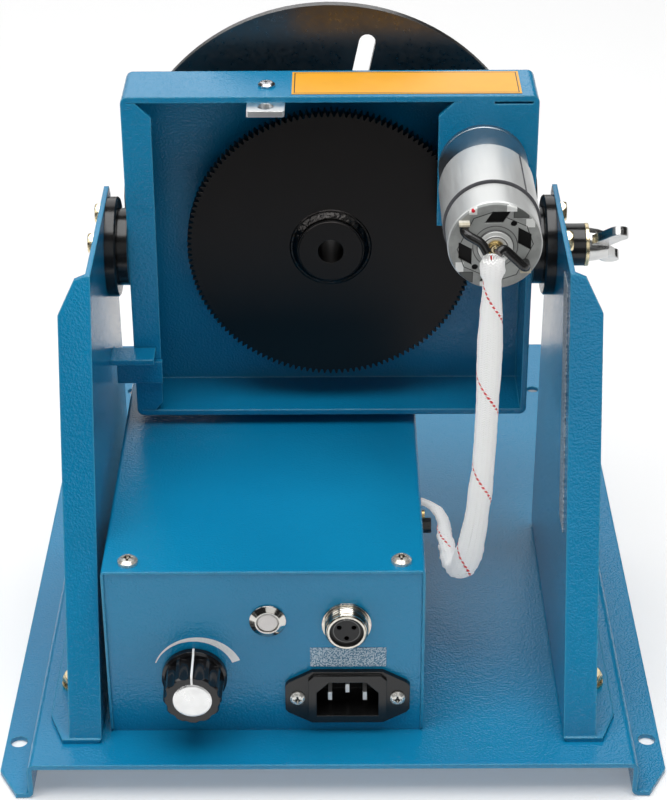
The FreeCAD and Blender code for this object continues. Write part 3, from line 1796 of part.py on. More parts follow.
node(base_plate())
node(upright(-1, "left_upright"))
node(upright(1, "right_upright"))
foot_fasteners()
node(bush(-1, "left_bush", "barrel_left"))
node(bush(1, "right_bush", "barrel_right"))
pivot_fasteners()
wing_parts()
node(stop_bar())
node(upright_label())
for make in (
    control_chassis, control_cover, earth_screw, power_inlet, inlet_pins, inlet_screws, pedal_socket,
    power_switch, power_button, potentiometer, pot_shaft, speed_knob, knob_cap, front_label,
    motor_lead_sleeve, tilt_box, stop_tab, circlip, bearing_housing, bearings, gearbox, motor_can,
    motor_cap, motor_bearing, motor_terminals, motor_wires, cable_terminal, terminal_screw, top_label,
    spindle, spindle_spacer, spur_gear, pinion, table, table_screws,
):
    node(make())
case_screws()
boards()
node(stub(-1, "left_stub"))
node(stub(1, "right_stub"))
box_screws()
brush_parts()

doc.recompute()
os.makedirs("parts", exist_ok=True)
for item in doc.Objects:
    if "Invalid" in item.State or "Error" in item.State:
        raise SystemExit(f"broken feature {item.Name} {item.Label} {item.State}")
for item in nodes:
    if item.Shape.isNull() or not item.Shape.isValid():
        raise SystemExit(f"bad shape {item.Label}")
    item.Shape.exportStep(f"parts/{item.Label}.step")
print(len(nodes), "nodes")
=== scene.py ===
import math

import bmesh
import bpy
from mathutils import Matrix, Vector


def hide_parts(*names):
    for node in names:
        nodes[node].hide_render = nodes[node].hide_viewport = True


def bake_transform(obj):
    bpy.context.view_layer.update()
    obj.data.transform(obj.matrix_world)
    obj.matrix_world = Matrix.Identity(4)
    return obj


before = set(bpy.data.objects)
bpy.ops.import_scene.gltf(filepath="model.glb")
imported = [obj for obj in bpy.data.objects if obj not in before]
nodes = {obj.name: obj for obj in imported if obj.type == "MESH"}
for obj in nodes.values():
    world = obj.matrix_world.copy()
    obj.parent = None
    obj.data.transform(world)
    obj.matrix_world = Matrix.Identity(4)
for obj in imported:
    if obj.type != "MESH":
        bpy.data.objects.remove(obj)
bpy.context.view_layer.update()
print("frame loaded", len(nodes), "nodes")

cameraSettings = {
    "place": (0.00354, -0.83986, 0.55528),
    "turnDegrees": (60.595, 0.296, 0.030),
    "lens": 95.64,
    "sensor": 36,
    "clip": (0.02, 20),
}


def makeCamera(s):
    data = bpy.data.cameras.new("camera")
    data.sensor_width = s["sensor"]
    data.lens = s["lens"]
    data.clip_start, data.clip_end = s["clip"]
    camera = bpy.data.objects.new("camera", data)
    camera.location = s["place"]
    camera.rotation_euler = [math.radians(angle) for angle in s["turnDegrees"]]
    bpy.context.scene.collection.objects.link(camera)
    bpy.context.scene.camera = camera


makeCamera(cameraSettings)
print("camera placed")

sleeveSettings = {
    "route": [  # from the control box to the motor
        (0.0336, -0.0785, 0.0780),
        (0.0462, -0.0835, 0.0790),
        (0.0475, -0.1035, 0.0670),
        (0.0525, -0.1175, 0.0645),
        (0.0575, -0.1225, 0.0880),
        (0.0612, -0.1245, 0.1390),
        (0.0604, -0.1280, 0.21437),
    ],
    "diameter": 0.0090,
    "length": 0.196,
    "blendStart": (0.0575, -0.1225, 0.085),
    "blendEnd": (0.0604, -0.128, 0.213),
    "sides": 40,
    "curveSteps": 64,
    "ringStep": 0.0009,
    # millimetres down from the motor, half width, half depth, share of folds
    "profile": [
        (0.0, 3.3, 3.0, 0.25),
        (1.2, 4.4, 3.9, 0.45),
        (5.4, 4.8, 4.2, 0.50),
        (7.4, 4.3, 3.8, 0.35),
        (9.0, 3.5, 3.2, 0.10),
        (14.0, 3.6, 3.3, 0.10),
        (24.0, 4.3, 3.4, 0.12),
        (38.0, 4.9, 3.3, 0.14),
        (48.0, 4.8, 3.2, 0.12),
        (62.0, 4.4, 3.2, 0.12),
        (94.0, 4.4, 3.1, 0.14),
        (106.0, 4.9, 3.0, 0.16),
        (113.0, 4.6, 3.0, 0.16),
        (128.0, 5.2, 3.0, 0.20),
        (138.0, 5.8, 3.2, 0.35),
        (147.0, 5.2, 3.3, 0.50),
        (156.0, 4.4, 3.2, 0.70),
        (163.0, 3.8, 3.0, 0.75),
        (171.0, 3.3, 2.6, 0.70),
        (180.0, 2.5, 2.2, 0.45),
        (190.0, 1.6, 1.5, 0.10),
    ],
    # each fold: size, times round, drift and start, then the swell along the sleeve
    "folds": (
        (1.0, 3, 0.9, 0.6, 0.43, 1.1),
        (0.7, 5, -1.7, 2.0, 0.71, 0.4),
        (0.5, 2, 2.6, 0.0, 0.31, math.pi / 2),
    ),
    "foldDepth": 0.6,
    # the mouth turned in at the motor: width share, sunk by, row of the weave
    "mouth": ((0.72, 0.004, -0.002), (0.76, 0.0008, -0.001), (0.84, -0.0003, -0.0003)),
}


def smoothLine(name, route, steps):
    curve = bpy.data.curves.new(name, "CURVE")
    curve.dimensions = "3D"
    curve.resolution_u = steps
    spline = curve.splines.new("NURBS")
    spline.points.add(len(route) - 1)
    for point, place in zip(spline.points, route):
        point.co = (*place, 1.0)
    spline.order_u = 3
    spline.use_endpoint_u = True
    carrier = bpy.data.objects.new(name, curve)
    bpy.context.scene.collection.objects.link(carrier)
    mesh = bpy.data.meshes.new_from_object(carrier)
    points = [vertex.co.copy() for vertex in mesh.vertices]
    bpy.data.objects.remove(carrier)
    bpy.data.meshes.remove(mesh)
    bpy.data.curves.remove(curve)
    return points


# the same line as points one step apart, each with its distance from the start
def spacedPoints(points, step):
    spaced, walked, due = [(points[0], 0.0)], 0.0, step
    for before, after in zip(points, points[1:]):
        run = (after - before).length
        while walked + run >= due and run > 0:
            spaced.append((before.lerp(after, (due - walked) / run), due))
            due += step
        walked += run
    if walked - spaced[-1][1] > step * 0.3:  # a last short step
        spaced.append((points[-1], walked))
    return spaced, walked


def profileAt(profile, far):
    for low, high in zip(profile, profile[1:]):
        if far <= high[0]:
            share = (far - low[0]) / (high[0] - low[0])
            share = share * share * (3 - 2 * share)
            return [a + (b - a) * share for a, b in zip(low[1:], high[1:])]
    return list(profile[-1][1:])


def foldAt(s, angle, far):
    wave = 0.0
    for size, times, drift, start, swell, swellStart in s["folds"]:
        turn = math.sin(times * angle + drift * far + start)
        wave += size * turn * math.sin(swell * far + swellStart)
    return s["foldDepth"] * wave


def sleeveRings(s, spaced):
    side = Vector((1, 0, 0))
    rings = []
    for number, (place, walked) in enumerate(spaced):
        before = spaced[max(number - 1, 0)][0]
        after = spaced[min(number + 1, len(spaced) - 1)][0]
        along = (after - before).normalized()
        side = (side - along * side.dot(along)).normalized()
        across = along.cross(side)
        far = walked * 1000  # millimetres
        wide, deep, rough = profileAt(s["profile"], far)
        ring = []
        for step in range(s["sides"]):
            angle = math.tau * step / s["sides"]
            fold = rough * foldAt(s, angle, far)
            reach = side * (wide + fold) * math.cos(angle)
            reach += across * (deep + fold) * math.sin(angle)
            ring.append(place + reach / 1000)
        rings.append(ring)
    return rings


def makeSleeve(s):
    line = smoothLine("sleeve_line", s["route"], s["curveSteps"])
    line.reverse()
    spaced, whole = spacedPoints(line, s["ringStep"])
    print("sleeve line", round(whole, 4), "m")
    rings = sleeveRings(s, spaced)
    top, down = spaced[0][0], (spaced[4][0] - spaced[0][0]).normalized()
    inner = []
    for share, sink, _ in s["mouth"]:
        inner.append([top + (corner - top) * share + down * sink for corner in rings[0]])
    rings = inner + rings
    rows = [row for _, _, row in s["mouth"]] + [walked for _, walked in spaced]
    mesh = bmesh.new()
    uv = mesh.loops.layers.uv.new("weave")
    made = [[mesh.verts.new(corner) for corner in ring] for ring in rings]
    sides = s["sides"]
    for number, (ring, after) in enumerate(zip(made, made[1:])):
        for step in range(sides):
            beside = (step + 1) % sides
            face = mesh.faces.new((ring[step], ring[beside], after[beside], after[step]))
            face.smooth = True
            spots = ((step, number), (step + 1, number), (step + 1, number + 1), (step, number + 1))
            for loop, (turn, row) in zip(face.loops, spots):
                loop[uv].uv = (turn / sides, rows[row])
    for ring in (made[0], made[-1]):
        mesh.faces.new(ring)
    bmesh.ops.recalc_face_normals(mesh, faces=mesh.faces)
    data = bpy.data.meshes.new("lead_sleeve")
    mesh.to_mesh(data)
    mesh.free()
    piece = bpy.data.objects.new("lead_sleeve", data)
    bpy.context.scene.collection.objects.link(piece)
    return piece, [place for place, _ in spaced][::-1]


leadSleeve, sleeveLine = makeSleeve(sleeveSettings)
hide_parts("motor_lead_sleeve")
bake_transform(leadSleeve)
print("sleeve made")


# adds nodes to one material and joins them; places are those of the object
class Graph:
    def __init__(self, name):
        self.material = bpy.data.materials.new(name)
        self.material.use_nodes = True
        self.tree = self.material.node_tree
        self.surface = self.tree.nodes["Principled BSDF"]
        self.place = self.add("ShaderNodeTexCoord").outputs["Object"]

    def add(self, kind, **settings):
        made = self.tree.nodes.new(kind)
        for name, value in settings.items():
            if name in made.inputs:
                self.give(made.inputs[name], value)
            else:
                setattr(made, name, value)
        return made

    def give(self, socket, value):
        if isinstance(value, bpy.types.NodeSocket):
            self.tree.links.new(value, socket)
        else:
            socket.default_value = value

    def put(self, **values):
        for name, value in values.items():
            self.give(self.surface.inputs[name.replace("_", " ")], value)

    def noise(self, scale, detail, where=None):
        made = self.add("ShaderNodeTexNoise", Scale=scale, Detail=detail, Roughness=0.5)
        self.give(made.inputs["Vector"], where or self.place)
        return made.outputs["Fac"]

    def stretch(self, amounts):
        made = self.add("ShaderNodeMapping")
        made.inputs["Scale"].default_value = amounts
        self.give(made.inputs["Vector"], self.place)
        return made.outputs["Vector"]

    def band(self, value, low, high, start=0.0, end=1.0):
        made = self.add("ShaderNodeMapRange", interpolation_type="SMOOTHSTEP")
        self.give(made.inputs["Value"], value)
        names = ("From Min", "From Max", "To Min", "To Max")
        for name, number in zip(names, (low, high, start, end)):
            self.give(made.inputs[name], number)
        return made.outputs["Result"]

    def calc(self, kind, first, second=0.0):
        made = self.add("ShaderNodeMath", operation=kind)
        self.give(made.inputs[0], first)
        self.give(made.inputs[1], second)
        return made.outputs[0]

    def times(self, first, second):
        return self.calc("MULTIPLY", first, second)

    def blend(self, share, first, second):
        made = self.add("ShaderNodeMix", data_type="RGBA")
        self.give(made.inputs[0], share)
        self.give(made.inputs[6], first)
        self.give(made.inputs[7], second)
        return made.outputs[2]

    def bump(self, height, depth, under=None):
        made = self.add("ShaderNodeBump", Strength=1.0, Distance=depth)
        self.give(made.inputs["Height"], height)
        if under is not None:
            self.give(made.inputs["Normal"], under)
        return made.outputs["Normal"]

    def rounded(self, radius):
        return self.add("ShaderNodeBevel", samples=4, Radius=radius).outputs["Normal"]

    # 1 on a rounded edge, 0 on the flat beside it
    def edges(self, rounded):
        plain = self.add("ShaderNodeNewGeometry").outputs["True Normal"]
        dot = self.add("ShaderNodeVectorMath", operation="DOT_PRODUCT")
        self.give(dot.inputs[0], rounded)
        self.give(dot.inputs[1], plain)
        return self.band(dot.outputs["Value"], 0.75, 0.99, 1.0, 0.0)

    def axis(self, letter):
        made = self.add("ShaderNodeSeparateXYZ")
        self.give(made.inputs[0], self.place)
        return made.outputs[letter]

    def fromMiddle(self, letter, middle):
        return self.calc("SUBTRACT", self.axis(letter), middle)

    def within(self, value, middle, half):
        off = self.calc("ABSOLUTE", self.calc("SUBTRACT", value, middle))
        return self.calc("LESS_THAN", off, half)

    def near(self, letter, middle, half):
        return self.within(self.axis(letter), middle, half)

    def patch(self, x, z, halfX, halfZ):
        return self.times(self.near("X", x, halfX), self.near("Z", z, halfZ))

    # distance from a line through x and the place on the second axis
    def away(self, x, other, second="Z"):
        across = self.calc("POWER", self.fromMiddle("X", x), 2.0)
        up = self.calc("POWER", self.fromMiddle(second, other), 2.0)
        return self.calc("SQRT", self.calc("ADD", across, up))

    def disc(self, x, z, radius):
        return self.calc("LESS_THAN", self.away(x, z), radius)

    def hoop(self, x, z, radius, half):
        return self.within(self.away(x, z), radius, half)


def shade(red, green, blue):
    return (red, green, blue, 1.0)


def scaled(colour, share, lift=0.0):
    return [min(1.0, part * share + lift) for part in colour[:3]] + [1.0]


paintSettings = {
    "colour": shade(0.004, 0.222, 0.425),
    "deep": shade(0.003, 0.190, 0.375),
    # the edge colour is a painted highlight: lighter blue along the rounded edges
    "edge": shade(0.12, 0.56, 0.76),
    "edgeHighlightShare": 0.55,
    "edgeRadius": 0.0011,
    "roughness": (0.10, 0.19),
    "peelSize": 1050.0,
    "swellSize": 260.0,
    "swellShare": 0.35,
    "bumpDepth": 0.00024,
    "cloudSize": 9.0,
    "gloss": 1.5,
}

# the printed arc round the speed knob, growing from left to right
scaleSettings = {
    "x": -0.0548,
    "z": 0.0438,
    "inner": 0.0162,
    "thin": 0.0003,
    "grow": 0.0016,
    "low": 0.36,
    "front": -0.1549,
    "ink": shade(0.74, 0.76, 0.77),
}


def scaleArc(graph, s):
    away = graph.away(s["x"], s["z"])
    cosine = graph.calc("DIVIDE", graph.fromMiddle("X", s["x"]), away)
    sine = graph.calc("DIVIDE", graph.fromMiddle("Z", s["z"]), away)
    outer = graph.times(graph.calc("ADD", cosine, 1.0), s["grow"])
    outer = graph.calc("ADD", outer, s["inner"] + s["thin"])
    arc = graph.times(
        graph.calc("GREATER_THAN", away, s["inner"]),
        graph.calc("LESS_THAN", away, outer),
    )
    arc = graph.times(arc, graph.calc("GREATER_THAN", sine, s["low"]))
    return graph.times(arc, graph.calc("LESS_THAN", graph.axis("Y"), s["front"]))


def bluePaint(name, s, scale=None):
    graph = Graph(name)
    peel = graph.noise(s["peelSize"], 1.5)
    swell = graph.noise(s["swellSize"], 1.0)
    height = graph.calc("ADD", peel, graph.times(swell, s["swellShare"]))
    rounded = graph.rounded(s["edgeRadius"])
    cloud = graph.band(graph.noise(s["cloudSize"], 3.0), 0.35, 0.65)
    colour = graph.blend(cloud, s["deep"], s["colour"])
    # painted highlight: lighter blue laid along the rounded edges
    edgeHighlight = graph.times(graph.edges(rounded), s["edgeHighlightShare"])
    colour = graph.blend(edgeHighlight, colour, s["edge"])
    if scale is not None:
        colour = graph.blend(scaleArc(graph, scale), colour, scale["ink"])
    graph.put(
        Base_Color=colour,
        Roughness=graph.band(peel, 0.25, 0.75, *s["roughness"]),
        Normal=graph.bump(height, s["bumpDepth"], under=rounded),
        IOR=s["gloss"],
    )
    return graph.material


metalDefaults = {
    "grainSize": 700.0,
    "depth": 0.000012,
    "dirt": 0.3,
    "dirtShade": 0.55,
    "edge": 0.0004,
    "metallic": 1.0,
}

metalSettings = {
    "blackGear": {
        "name": "black_oxide",
        "colour": shade(0.020, 0.019, 0.019),
        "rough": (0.30, 0.45),
        "dirtShade": 1.6,
    },
    "zincGold": {
        "name": "gold_zinc",
        "colour": shade(0.83, 0.70, 0.44),
        "rough": (0.20, 0.34),
    },
    "zincPlate": {
        "name": "zinc_plate",
        "colour": shade(0.62, 0.63, 0.65),
        "rough": (0.18, 0.32),
        "dirt": 0.2,
    },
    "tableSteel": {
        "name": "table_steel",
        "colour": shade(0.150, 0.148, 0.148),
        "rough": (0.26, 0.42),
    },
    "pins": {
        "name": "pin_plating",
        "colour": shade(0.90, 0.90, 0.88),
        "rough": (0.3, 0.4),
        "depth": 0.00001,
        "dirt": 0.12,
        "metallic": 0.35,
    },
    "gearboxSteel": {
        "name": "gearbox_steel",
        "colour": shade(0.46, 0.50, 0.53),
        "rough": (0.30, 0.40),
        "depth": 0.000004,
        "dirt": 0.10,
        "edge": 0.0008,
    },
    "aluminium": {
        "name": "aluminium",
        "colour": shade(0.86, 0.86, 0.85),
        "rough": (0.28, 0.42),
        "depth": 0.00001,
        "dirt": 0.1,
    },
    "nickel": {
        "name": "nickel",
        "colour": shade(0.64, 0.62, 0.58),
        "rough": (0.08, 0.16),
        "depth": 0.00001,
        "dirt": 0.2,
    },
    "castZinc": {
        "name": "cast_zinc",
        "colour": shade(0.62, 0.62, 0.61),
        "rough": (0.12, 0.26),
        "grainSize": 400.0,
        "depth": 0.00003,
        "edge": 0.0009,
    },
    "button": {
        "name": "button_face",
        "colour": shade(0.66, 0.63, 0.61),
        "rough": (0.38, 0.5),
        "depth": 0.00001,
        "dirt": 0.1,
        "metallic": 0.6,
    },
}


def metal(own):
    s = {**metalDefaults, **own}
    graph = Graph(s["name"])
    grain = graph.noise(s["grainSize"], 3.0)
    cloud = graph.noise(60.0, 4.0)
    stained = graph.times(graph.band(cloud, 0.45, 0.75), s["dirt"])
    uneven = graph.calc("ADD", grain, graph.times(cloud, 0.4))
    graph.put(
        Base_Color=graph.blend(stained, s["colour"], scaled(s["colour"], s["dirtShade"])),
        Metallic=s["metallic"],
        Roughness=graph.band(uneven, 0.4, 1.0, *s["rough"]),
        Normal=graph.bump(grain, s["depth"], under=graph.rounded(s["edge"])),
    )
    return graph.material


# name, colour, roughness from and to, depth of the grain
plasticSettings = {
    "blackBush": ("black_bush", shade(0.006, 0.006, 0.006), (0.14, 0.24), 0.00001),
    "blackPlastic": ("black_plastic", shade(0.007, 0.007, 0.007), (0.16, 0.26), 0.00001),
    "graphite": ("graphite", shade(0.05, 0.05, 0.055), (0.4, 0.6), 0.00003),
    "board": ("board_green", shade(0.03, 0.16, 0.06), (0.3, 0.4), 0.00003),
    "component": ("component", shade(0.06, 0.06, 0.07), (0.35, 0.5), 0.00003),
    "wire": ("wire_black", shade(0.010, 0.010, 0.010), (0.18, 0.28), 0.00003),
    "plainBraid": ("sleeve_braid", shade(0.80, 0.80, 0.77), (0.6, 0.8), 0.00003),
}


def plastic(name, colour, rough, depth):
    graph = Graph(name)
    grain = graph.noise(1800.0, 2.0)
    cloud = graph.band(graph.noise(70.0, 3.0), 0.4, 0.75, 0.0, 0.5)
    graph.put(
        Base_Color=graph.blend(cloud, colour, scaled(colour, 1.35, 0.004)),
        Roughness=graph.band(grain, 0.25, 0.75, *rough),
        Normal=graph.bump(grain, depth, under=graph.rounded(0.0004)),
    )
    return graph.material


# black gear and spindle with a shinier, lumpy bead where they are welded
weldSettings = {
    "black": shade(0.036, 0.033, 0.032),
    "bead": shade(0.034, 0.032, 0.031),
    "roughness": 0.38,
    "beadRoughness": 0.30,
    "z": 0.175,
    "inner": 0.0136,
    "outer": 0.0172,
    "innerFade": 0.0002,
    "outerFade": 0.0006,
    "front": -0.0345,
    "lumps": 260.0,
    "depth": 0.0012,
    "grain": 700.0,
    "grainDepth": 0.000012,
    "edge": 0.0004,
}


def weldedBlack(s):
    graph = Graph("welded_black")
    away = graph.away(0.0, s["z"])
    bead = graph.times(
        graph.band(away, s["inner"] - s["innerFade"], s["inner"] + s["innerFade"]),
        graph.band(away, s["outer"] - s["outerFade"], s["outer"], 1.0, 0.0),
    )
    bead = graph.times(bead, graph.calc("LESS_THAN", graph.axis("Y"), s["front"]))
    lumps = graph.times(graph.noise(s["lumps"], 2.0), bead)
    grain = graph.noise(s["grain"], 3.0)
    fine = graph.bump(grain, s["grainDepth"], under=graph.rounded(s["edge"]))
    graph.put(
        Base_Color=graph.blend(bead, s["black"], s["bead"]),
        Metallic=1.0,
        Roughness=graph.band(bead, 0.0, 1.0, s["roughness"], s["beadRoughness"]),
        Normal=graph.bump(lumps, s["depth"], under=fine),
    )
    return graph.material


knobSettings = {
    "black": shade(0.008, 0.008, 0.009),
    "white": shade(0.85, 0.85, 0.84),
    "x": -0.0548,
    "z": 0.0438,
    "lineHalf": 0.00042,
    "lineStart": 0.0075,
    "roughness": (0.10, 0.18),
    "grain": 1500.0,
    "grainDepth": 0.00001,
    "edge": 0.0004,
}


def knobPlastic(s):
    graph = Graph("knob")
    grain = graph.noise(s["grain"], 2.0)
    above = graph.calc("GREATER_THAN", graph.axis("Z"), s["z"] + s["lineStart"])
    line = graph.times(graph.near("X", s["x"], s["lineHalf"]), above)
    graph.put(
        Base_Color=graph.blend(line, s["black"], s["white"]),
        Roughness=graph.band(grain, 0.25, 0.75, *s["roughness"]),
        Normal=graph.bump(grain, s["grainDepth"], under=graph.rounded(s["edge"])),
    )
    return graph.material


knobCapSettings = {
    "x": knobSettings["x"],
    "z": knobSettings["z"],
    "silver": shade(0.88, 0.88, 0.87),
    "stain": 0.8,
    "metallic": 0.85,
    "roughness": (0.26, 0.38),
    "turnMarks": 9000.0,
    "markDepth": 0.000008,
    "edge": 0.0004,
}


def spunCap(s):
    graph = Graph("knob_cap")
    rings = graph.calc("SINE", graph.times(graph.away(s["x"], s["z"]), s["turnMarks"]))
    cloud = graph.noise(160.0, 3.0)
    stained = graph.band(cloud, 0.4, 0.7, 0.0, 0.25)
    graph.put(
        Base_Color=graph.blend(stained, s["silver"], scaled(s["silver"], s["stain"])),
        Metallic=s["metallic"],
        Roughness=graph.band(cloud, 0.3, 0.8, *s["roughness"]),
        Normal=graph.bump(rings, s["markDepth"], under=graph.rounded(s["edge"])),
    )
    return graph.material


braidSettings = {
    "yarn": shade(0.99, 0.99, 0.98),
    "gap": shade(0.30, 0.30, 0.295),
    "stain": shade(0.78, 0.78, 0.76),
    "stainShare": 0.18,
    "stainStretch": (4, 60, 1),
    "columns": 14.0,
    "row": 0.00105,
    "slant": 1.6,
    "seamDepth": 0.45,
    "bumpDepth": 0.00045,
    "tracerPitch": 0.041,
    "tracerWide": 0.020,
    "tracerStart": 0.20,
    "dash": 0.0019,
    "dashShare": 0.62,
    "red": shade(0.50, 0.012, 0.012),
    "roughness": 0.85,
    "specular": 0.2,
    "fuzz": 0.25,
    # painted light: the sleeve glows a little through emission
    "paintedGlow": 0.42,
}


# white knitted yarn in chevrons with one dashed red tracer thread
def braid(s):
    graph = Graph("braid")
    graph.place = graph.add("ShaderNodeUVMap", uv_map="weave").outputs["UV"]
    around, along = graph.axis("X"), graph.axis("Y")
    column = graph.calc("FRACT", graph.times(around, s["columns"]))
    lean = graph.calc("ABSOLUTE", graph.calc("SUBTRACT", column, 0.5))
    row = graph.calc("DIVIDE", along, s["row"])
    row = graph.calc("FRACT", graph.calc("ADD", row, graph.times(lean, s["slant"])))
    wave = graph.calc("ABSOLUTE", graph.calc("SUBTRACT", row, 0.5))
    seam = graph.times(graph.band(lean, 0.30, 0.5), s["seamDepth"])
    yarn = graph.calc("SUBTRACT", graph.band(wave, 0.04, 0.34), seam)
    colour = graph.blend(graph.band(yarn, -0.1, 0.7), s["gap"], s["yarn"])
    cloud = graph.noise(3.0, 3.0, graph.stretch(s["stainStretch"]))
    stained = graph.band(cloud, 0.4, 0.75, 0.0, s["stainShare"])
    colour = graph.blend(stained, colour, s["stain"])
    turned = graph.calc("ADD", around, graph.calc("DIVIDE", along, s["tracerPitch"]))
    turned = graph.calc("FRACT", graph.calc("SUBTRACT", turned, s["tracerStart"]))
    thread = graph.within(turned, 0.5, s["tracerWide"])
    dashes = graph.calc("FRACT", graph.calc("DIVIDE", along, s["dash"]))
    dashes = graph.calc("LESS_THAN", dashes, s["dashShare"])
    colour = graph.blend(graph.times(thread, dashes), colour, s["red"])
    graph.put(
        Base_Color=colour,
        Roughness=s["roughness"],
        Specular_IOR_Level=s["specular"],
        Sheen_Weight=s["fuzz"],
        # painted glow: the braid emits its own colour, though it is no lamp
        Emission_Color=colour,
        Emission_Strength=s["paintedGlow"],
        Normal=graph.bump(yarn, s["bumpDepth"]),
    )
    return graph.material


leadSleeve.data.materials.append(braid(braidSettings))

motorSettings = {
    "x": 0.06195,
    "z": 0.21437,
    "face": -0.1186,
    "boss": 0.0068,
    "bossColour": shade(0.76, 0.77, 0.75),
    "plate": shade(0.27, 0.28, 0.27),
    "cloud": shade(0.35, 0.36, 0.35),
    "raised": shade(0.40, 0.415, 0.40),
    "raisedShare": 0.6,
    "raisedHalf": 0.0137,
    "raisedTurn": (0.94, 0.34),  # cosine and sine
    "cornerCut": 0.78,
    "raisedLine": 0.00018,
    "line": shade(0.05, 0.05, 0.05),
    # painted shade: near black where the cap lies deeper than its face
    "recessShade": shade(0.002, 0.002, 0.002),
    "holeDepth": 0.0005,
    "holeReach": 0.0162,
    "windowShade": shade(0.10, 0.105, 0.10),
    "cellLine": 0.35,
    "tab": shade(0.80, 0.81, 0.79),
    # the dark patches are painted shade standing for window openings in the cap
    # millimetres from the middle, then half width and half height
    "dark": ((9.4, 14.3, 2.6, 2.2), (-10.6, -12.6, 2.2, 1.9)),
    "pale": (
        (-8.6, 14.6, 1.5, 1.5),
        (5.8, 15.6, 1.9, 1.3),
        (12.9, 9.6, 1.7, 1.7),
        (-13.2, -8.4, 1.5, 2.0),
        (-3.2, -15.2, 2.2, 1.2),
    ),
    "red": (-8.6, 14.6, 0.7),
    "redColour": shade(0.7, 0.01, 0.03),
    "hoops": (8.4, 6.8, 4.6),
    "hoopHalf": 0.00020,
    "hoopColour": shade(0.12, 0.12, 0.12),
    "roughness": 0.42,
    "metallic": 0.25,
    "bumpDepth": 0.0002,
    "edge": 0.0006,
}


def motorCap(s):
    graph = Graph("motor_cap")
    x, z = s["x"], s["z"]
    cosine, sine = s["raisedTurn"]
    cloud = graph.noise(220.0, 3.0)
    colour = graph.blend(graph.band(cloud, 0.3, 0.7), s["plate"], s["cloud"])
    across, up = graph.fromMiddle("X", x), graph.fromMiddle("Z", z)
    tilted = graph.calc("ADD", graph.times(across, cosine), graph.times(up, sine))
    other = graph.calc("SUBTRACT", graph.times(up, cosine), graph.times(across, sine))
    tilted, other = graph.calc("ABSOLUTE", tilted), graph.calc("ABSOLUTE", other)
    corner = graph.times(graph.calc("ADD", tilted, other), s["cornerCut"])
    shape = graph.calc("MAXIMUM", graph.calc("MAXIMUM", tilted, other), corner)
    raised = graph.calc("LESS_THAN", shape, s["raisedHalf"])
    colour = graph.blend(raised, colour, graph.blend(s["raisedShare"], colour, s["raised"]))

    def block(spot, colour, ink, grow=0.0):
        dx, dz, halfX, halfZ = spot
        mask = graph.patch(
            x + dx / 1000, z + dz / 1000, (halfX + grow) / 1000, (halfZ + grow) / 1000
        )
        return graph.blend(mask, colour, ink)

    # painted shade: each window opening drawn as a dark patch inside a dark outline
    for spot in s["dark"]:
        colour = block(spot, colour, s["line"], s["cellLine"])
        colour = block(spot, colour, s["windowShade"])
    for spot in s["pale"]:
        colour = block(spot, colour, s["tab"])
    dx, dz, radius = s["red"]
    dot = graph.disc(x + dx / 1000, z + dz / 1000, radius / 1000)
    colour = graph.blend(dot, colour, s["redColour"])
    outline = graph.within(shape, s["raisedHalf"], s["raisedLine"])
    colour = graph.blend(outline, colour, s["line"])
    colour = graph.blend(graph.disc(x, z, s["boss"]), colour, s["bossColour"])
    for radius in s["hoops"]:
        hoop = graph.hoop(x, z, radius / 1000, s["hoopHalf"])
        colour = graph.blend(hoop, colour, s["hoopColour"])
    # painted shade in the recesses behind the cap face
    deep = graph.calc("GREATER_THAN", graph.axis("Y"), s["face"] + s["holeDepth"])
    deep = graph.times(deep, graph.disc(x, z, s["holeReach"]))
    colour = graph.blend(deep, colour, s["recessShade"])
    height = graph.calc("ADD", raised, graph.times(cloud, 0.1))
    graph.put(
        Base_Color=colour,
        Roughness=s["roughness"],
        Metallic=s["metallic"],
        Normal=graph.bump(height, s["bumpDepth"], under=graph.rounded(s["edge"])),
    )
    return graph.material


canSettings = {
    "silver": shade(0.74, 0.75, 0.74),
    "stain": shade(0.60, 0.61, 0.61),
    "shadow": shade(0.10, 0.10, 0.11),
    "metallic": 0.5,
    "roughness": (0.34, 0.48),
    "x": motorSettings["x"],
    "z": motorSettings["z"],
    "seamDegrees": 48.0,
    "seamHalf": 0.00050,
    "step": -0.0995,
    "stepHalf": 0.00030,
    "edge": 0.0008,
}


def canMetal(s):
    graph = Graph("motor_silver")
    streak = graph.noise(500.0, 3.0, graph.stretch((1, 0.1, 1)))
    cloud = graph.noise(60.0, 4.0)
    turned = math.radians(s["seamDegrees"])
    across, up = graph.fromMiddle("X", s["x"]), graph.fromMiddle("Z", s["z"])
    off = graph.calc(
        "SUBTRACT",
        graph.times(across, math.sin(turned)),
        graph.times(up, math.cos(turned)),
    )
    seam = graph.calc("LESS_THAN", graph.calc("ABSOLUTE", off), s["seamHalf"])
    seam = graph.times(seam, graph.calc("GREATER_THAN", across, 0.0))
    seam = graph.times(seam, graph.calc("GREATER_THAN", graph.axis("Y"), s["step"]))
    line = graph.calc("MAXIMUM", seam, graph.near("Y", s["step"], s["stepHalf"]))
    stained = graph.band(cloud, 0.4, 0.75, 0.0, 0.18)
    colour = graph.blend(stained, s["silver"], s["stain"])
    graph.put(
        Base_Color=graph.blend(line, colour, s["shadow"]),
        Metallic=graph.band(line, 0.0, 1.0, s["metallic"], 0.0),
        Roughness=graph.band(streak, 0.3, 0.8, *s["roughness"]),
        Normal=graph.bump(streak, 0.00001, under=graph.rounded(s["edge"])),
    )
    return graph.material


bearingSettings = {
    "x": motorSettings["x"],
    "z": motorSettings["z"],
    "brass": shade(0.50, 0.36, 0.14),
    "stain": shade(0.34, 0.25, 0.11),
    "dark": shade(0.06, 0.045, 0.025),
    "bright": shade(0.92, 0.82, 0.58),
    "darkHoop": (0.0019, 0.00028),
    "brightHoop": (0.0013, 0.00032),
    "bore": 0.0009,
    "metallic": 0.9,
    "roughness": (0.2, 0.32),
    "edge": 0.0003,
}


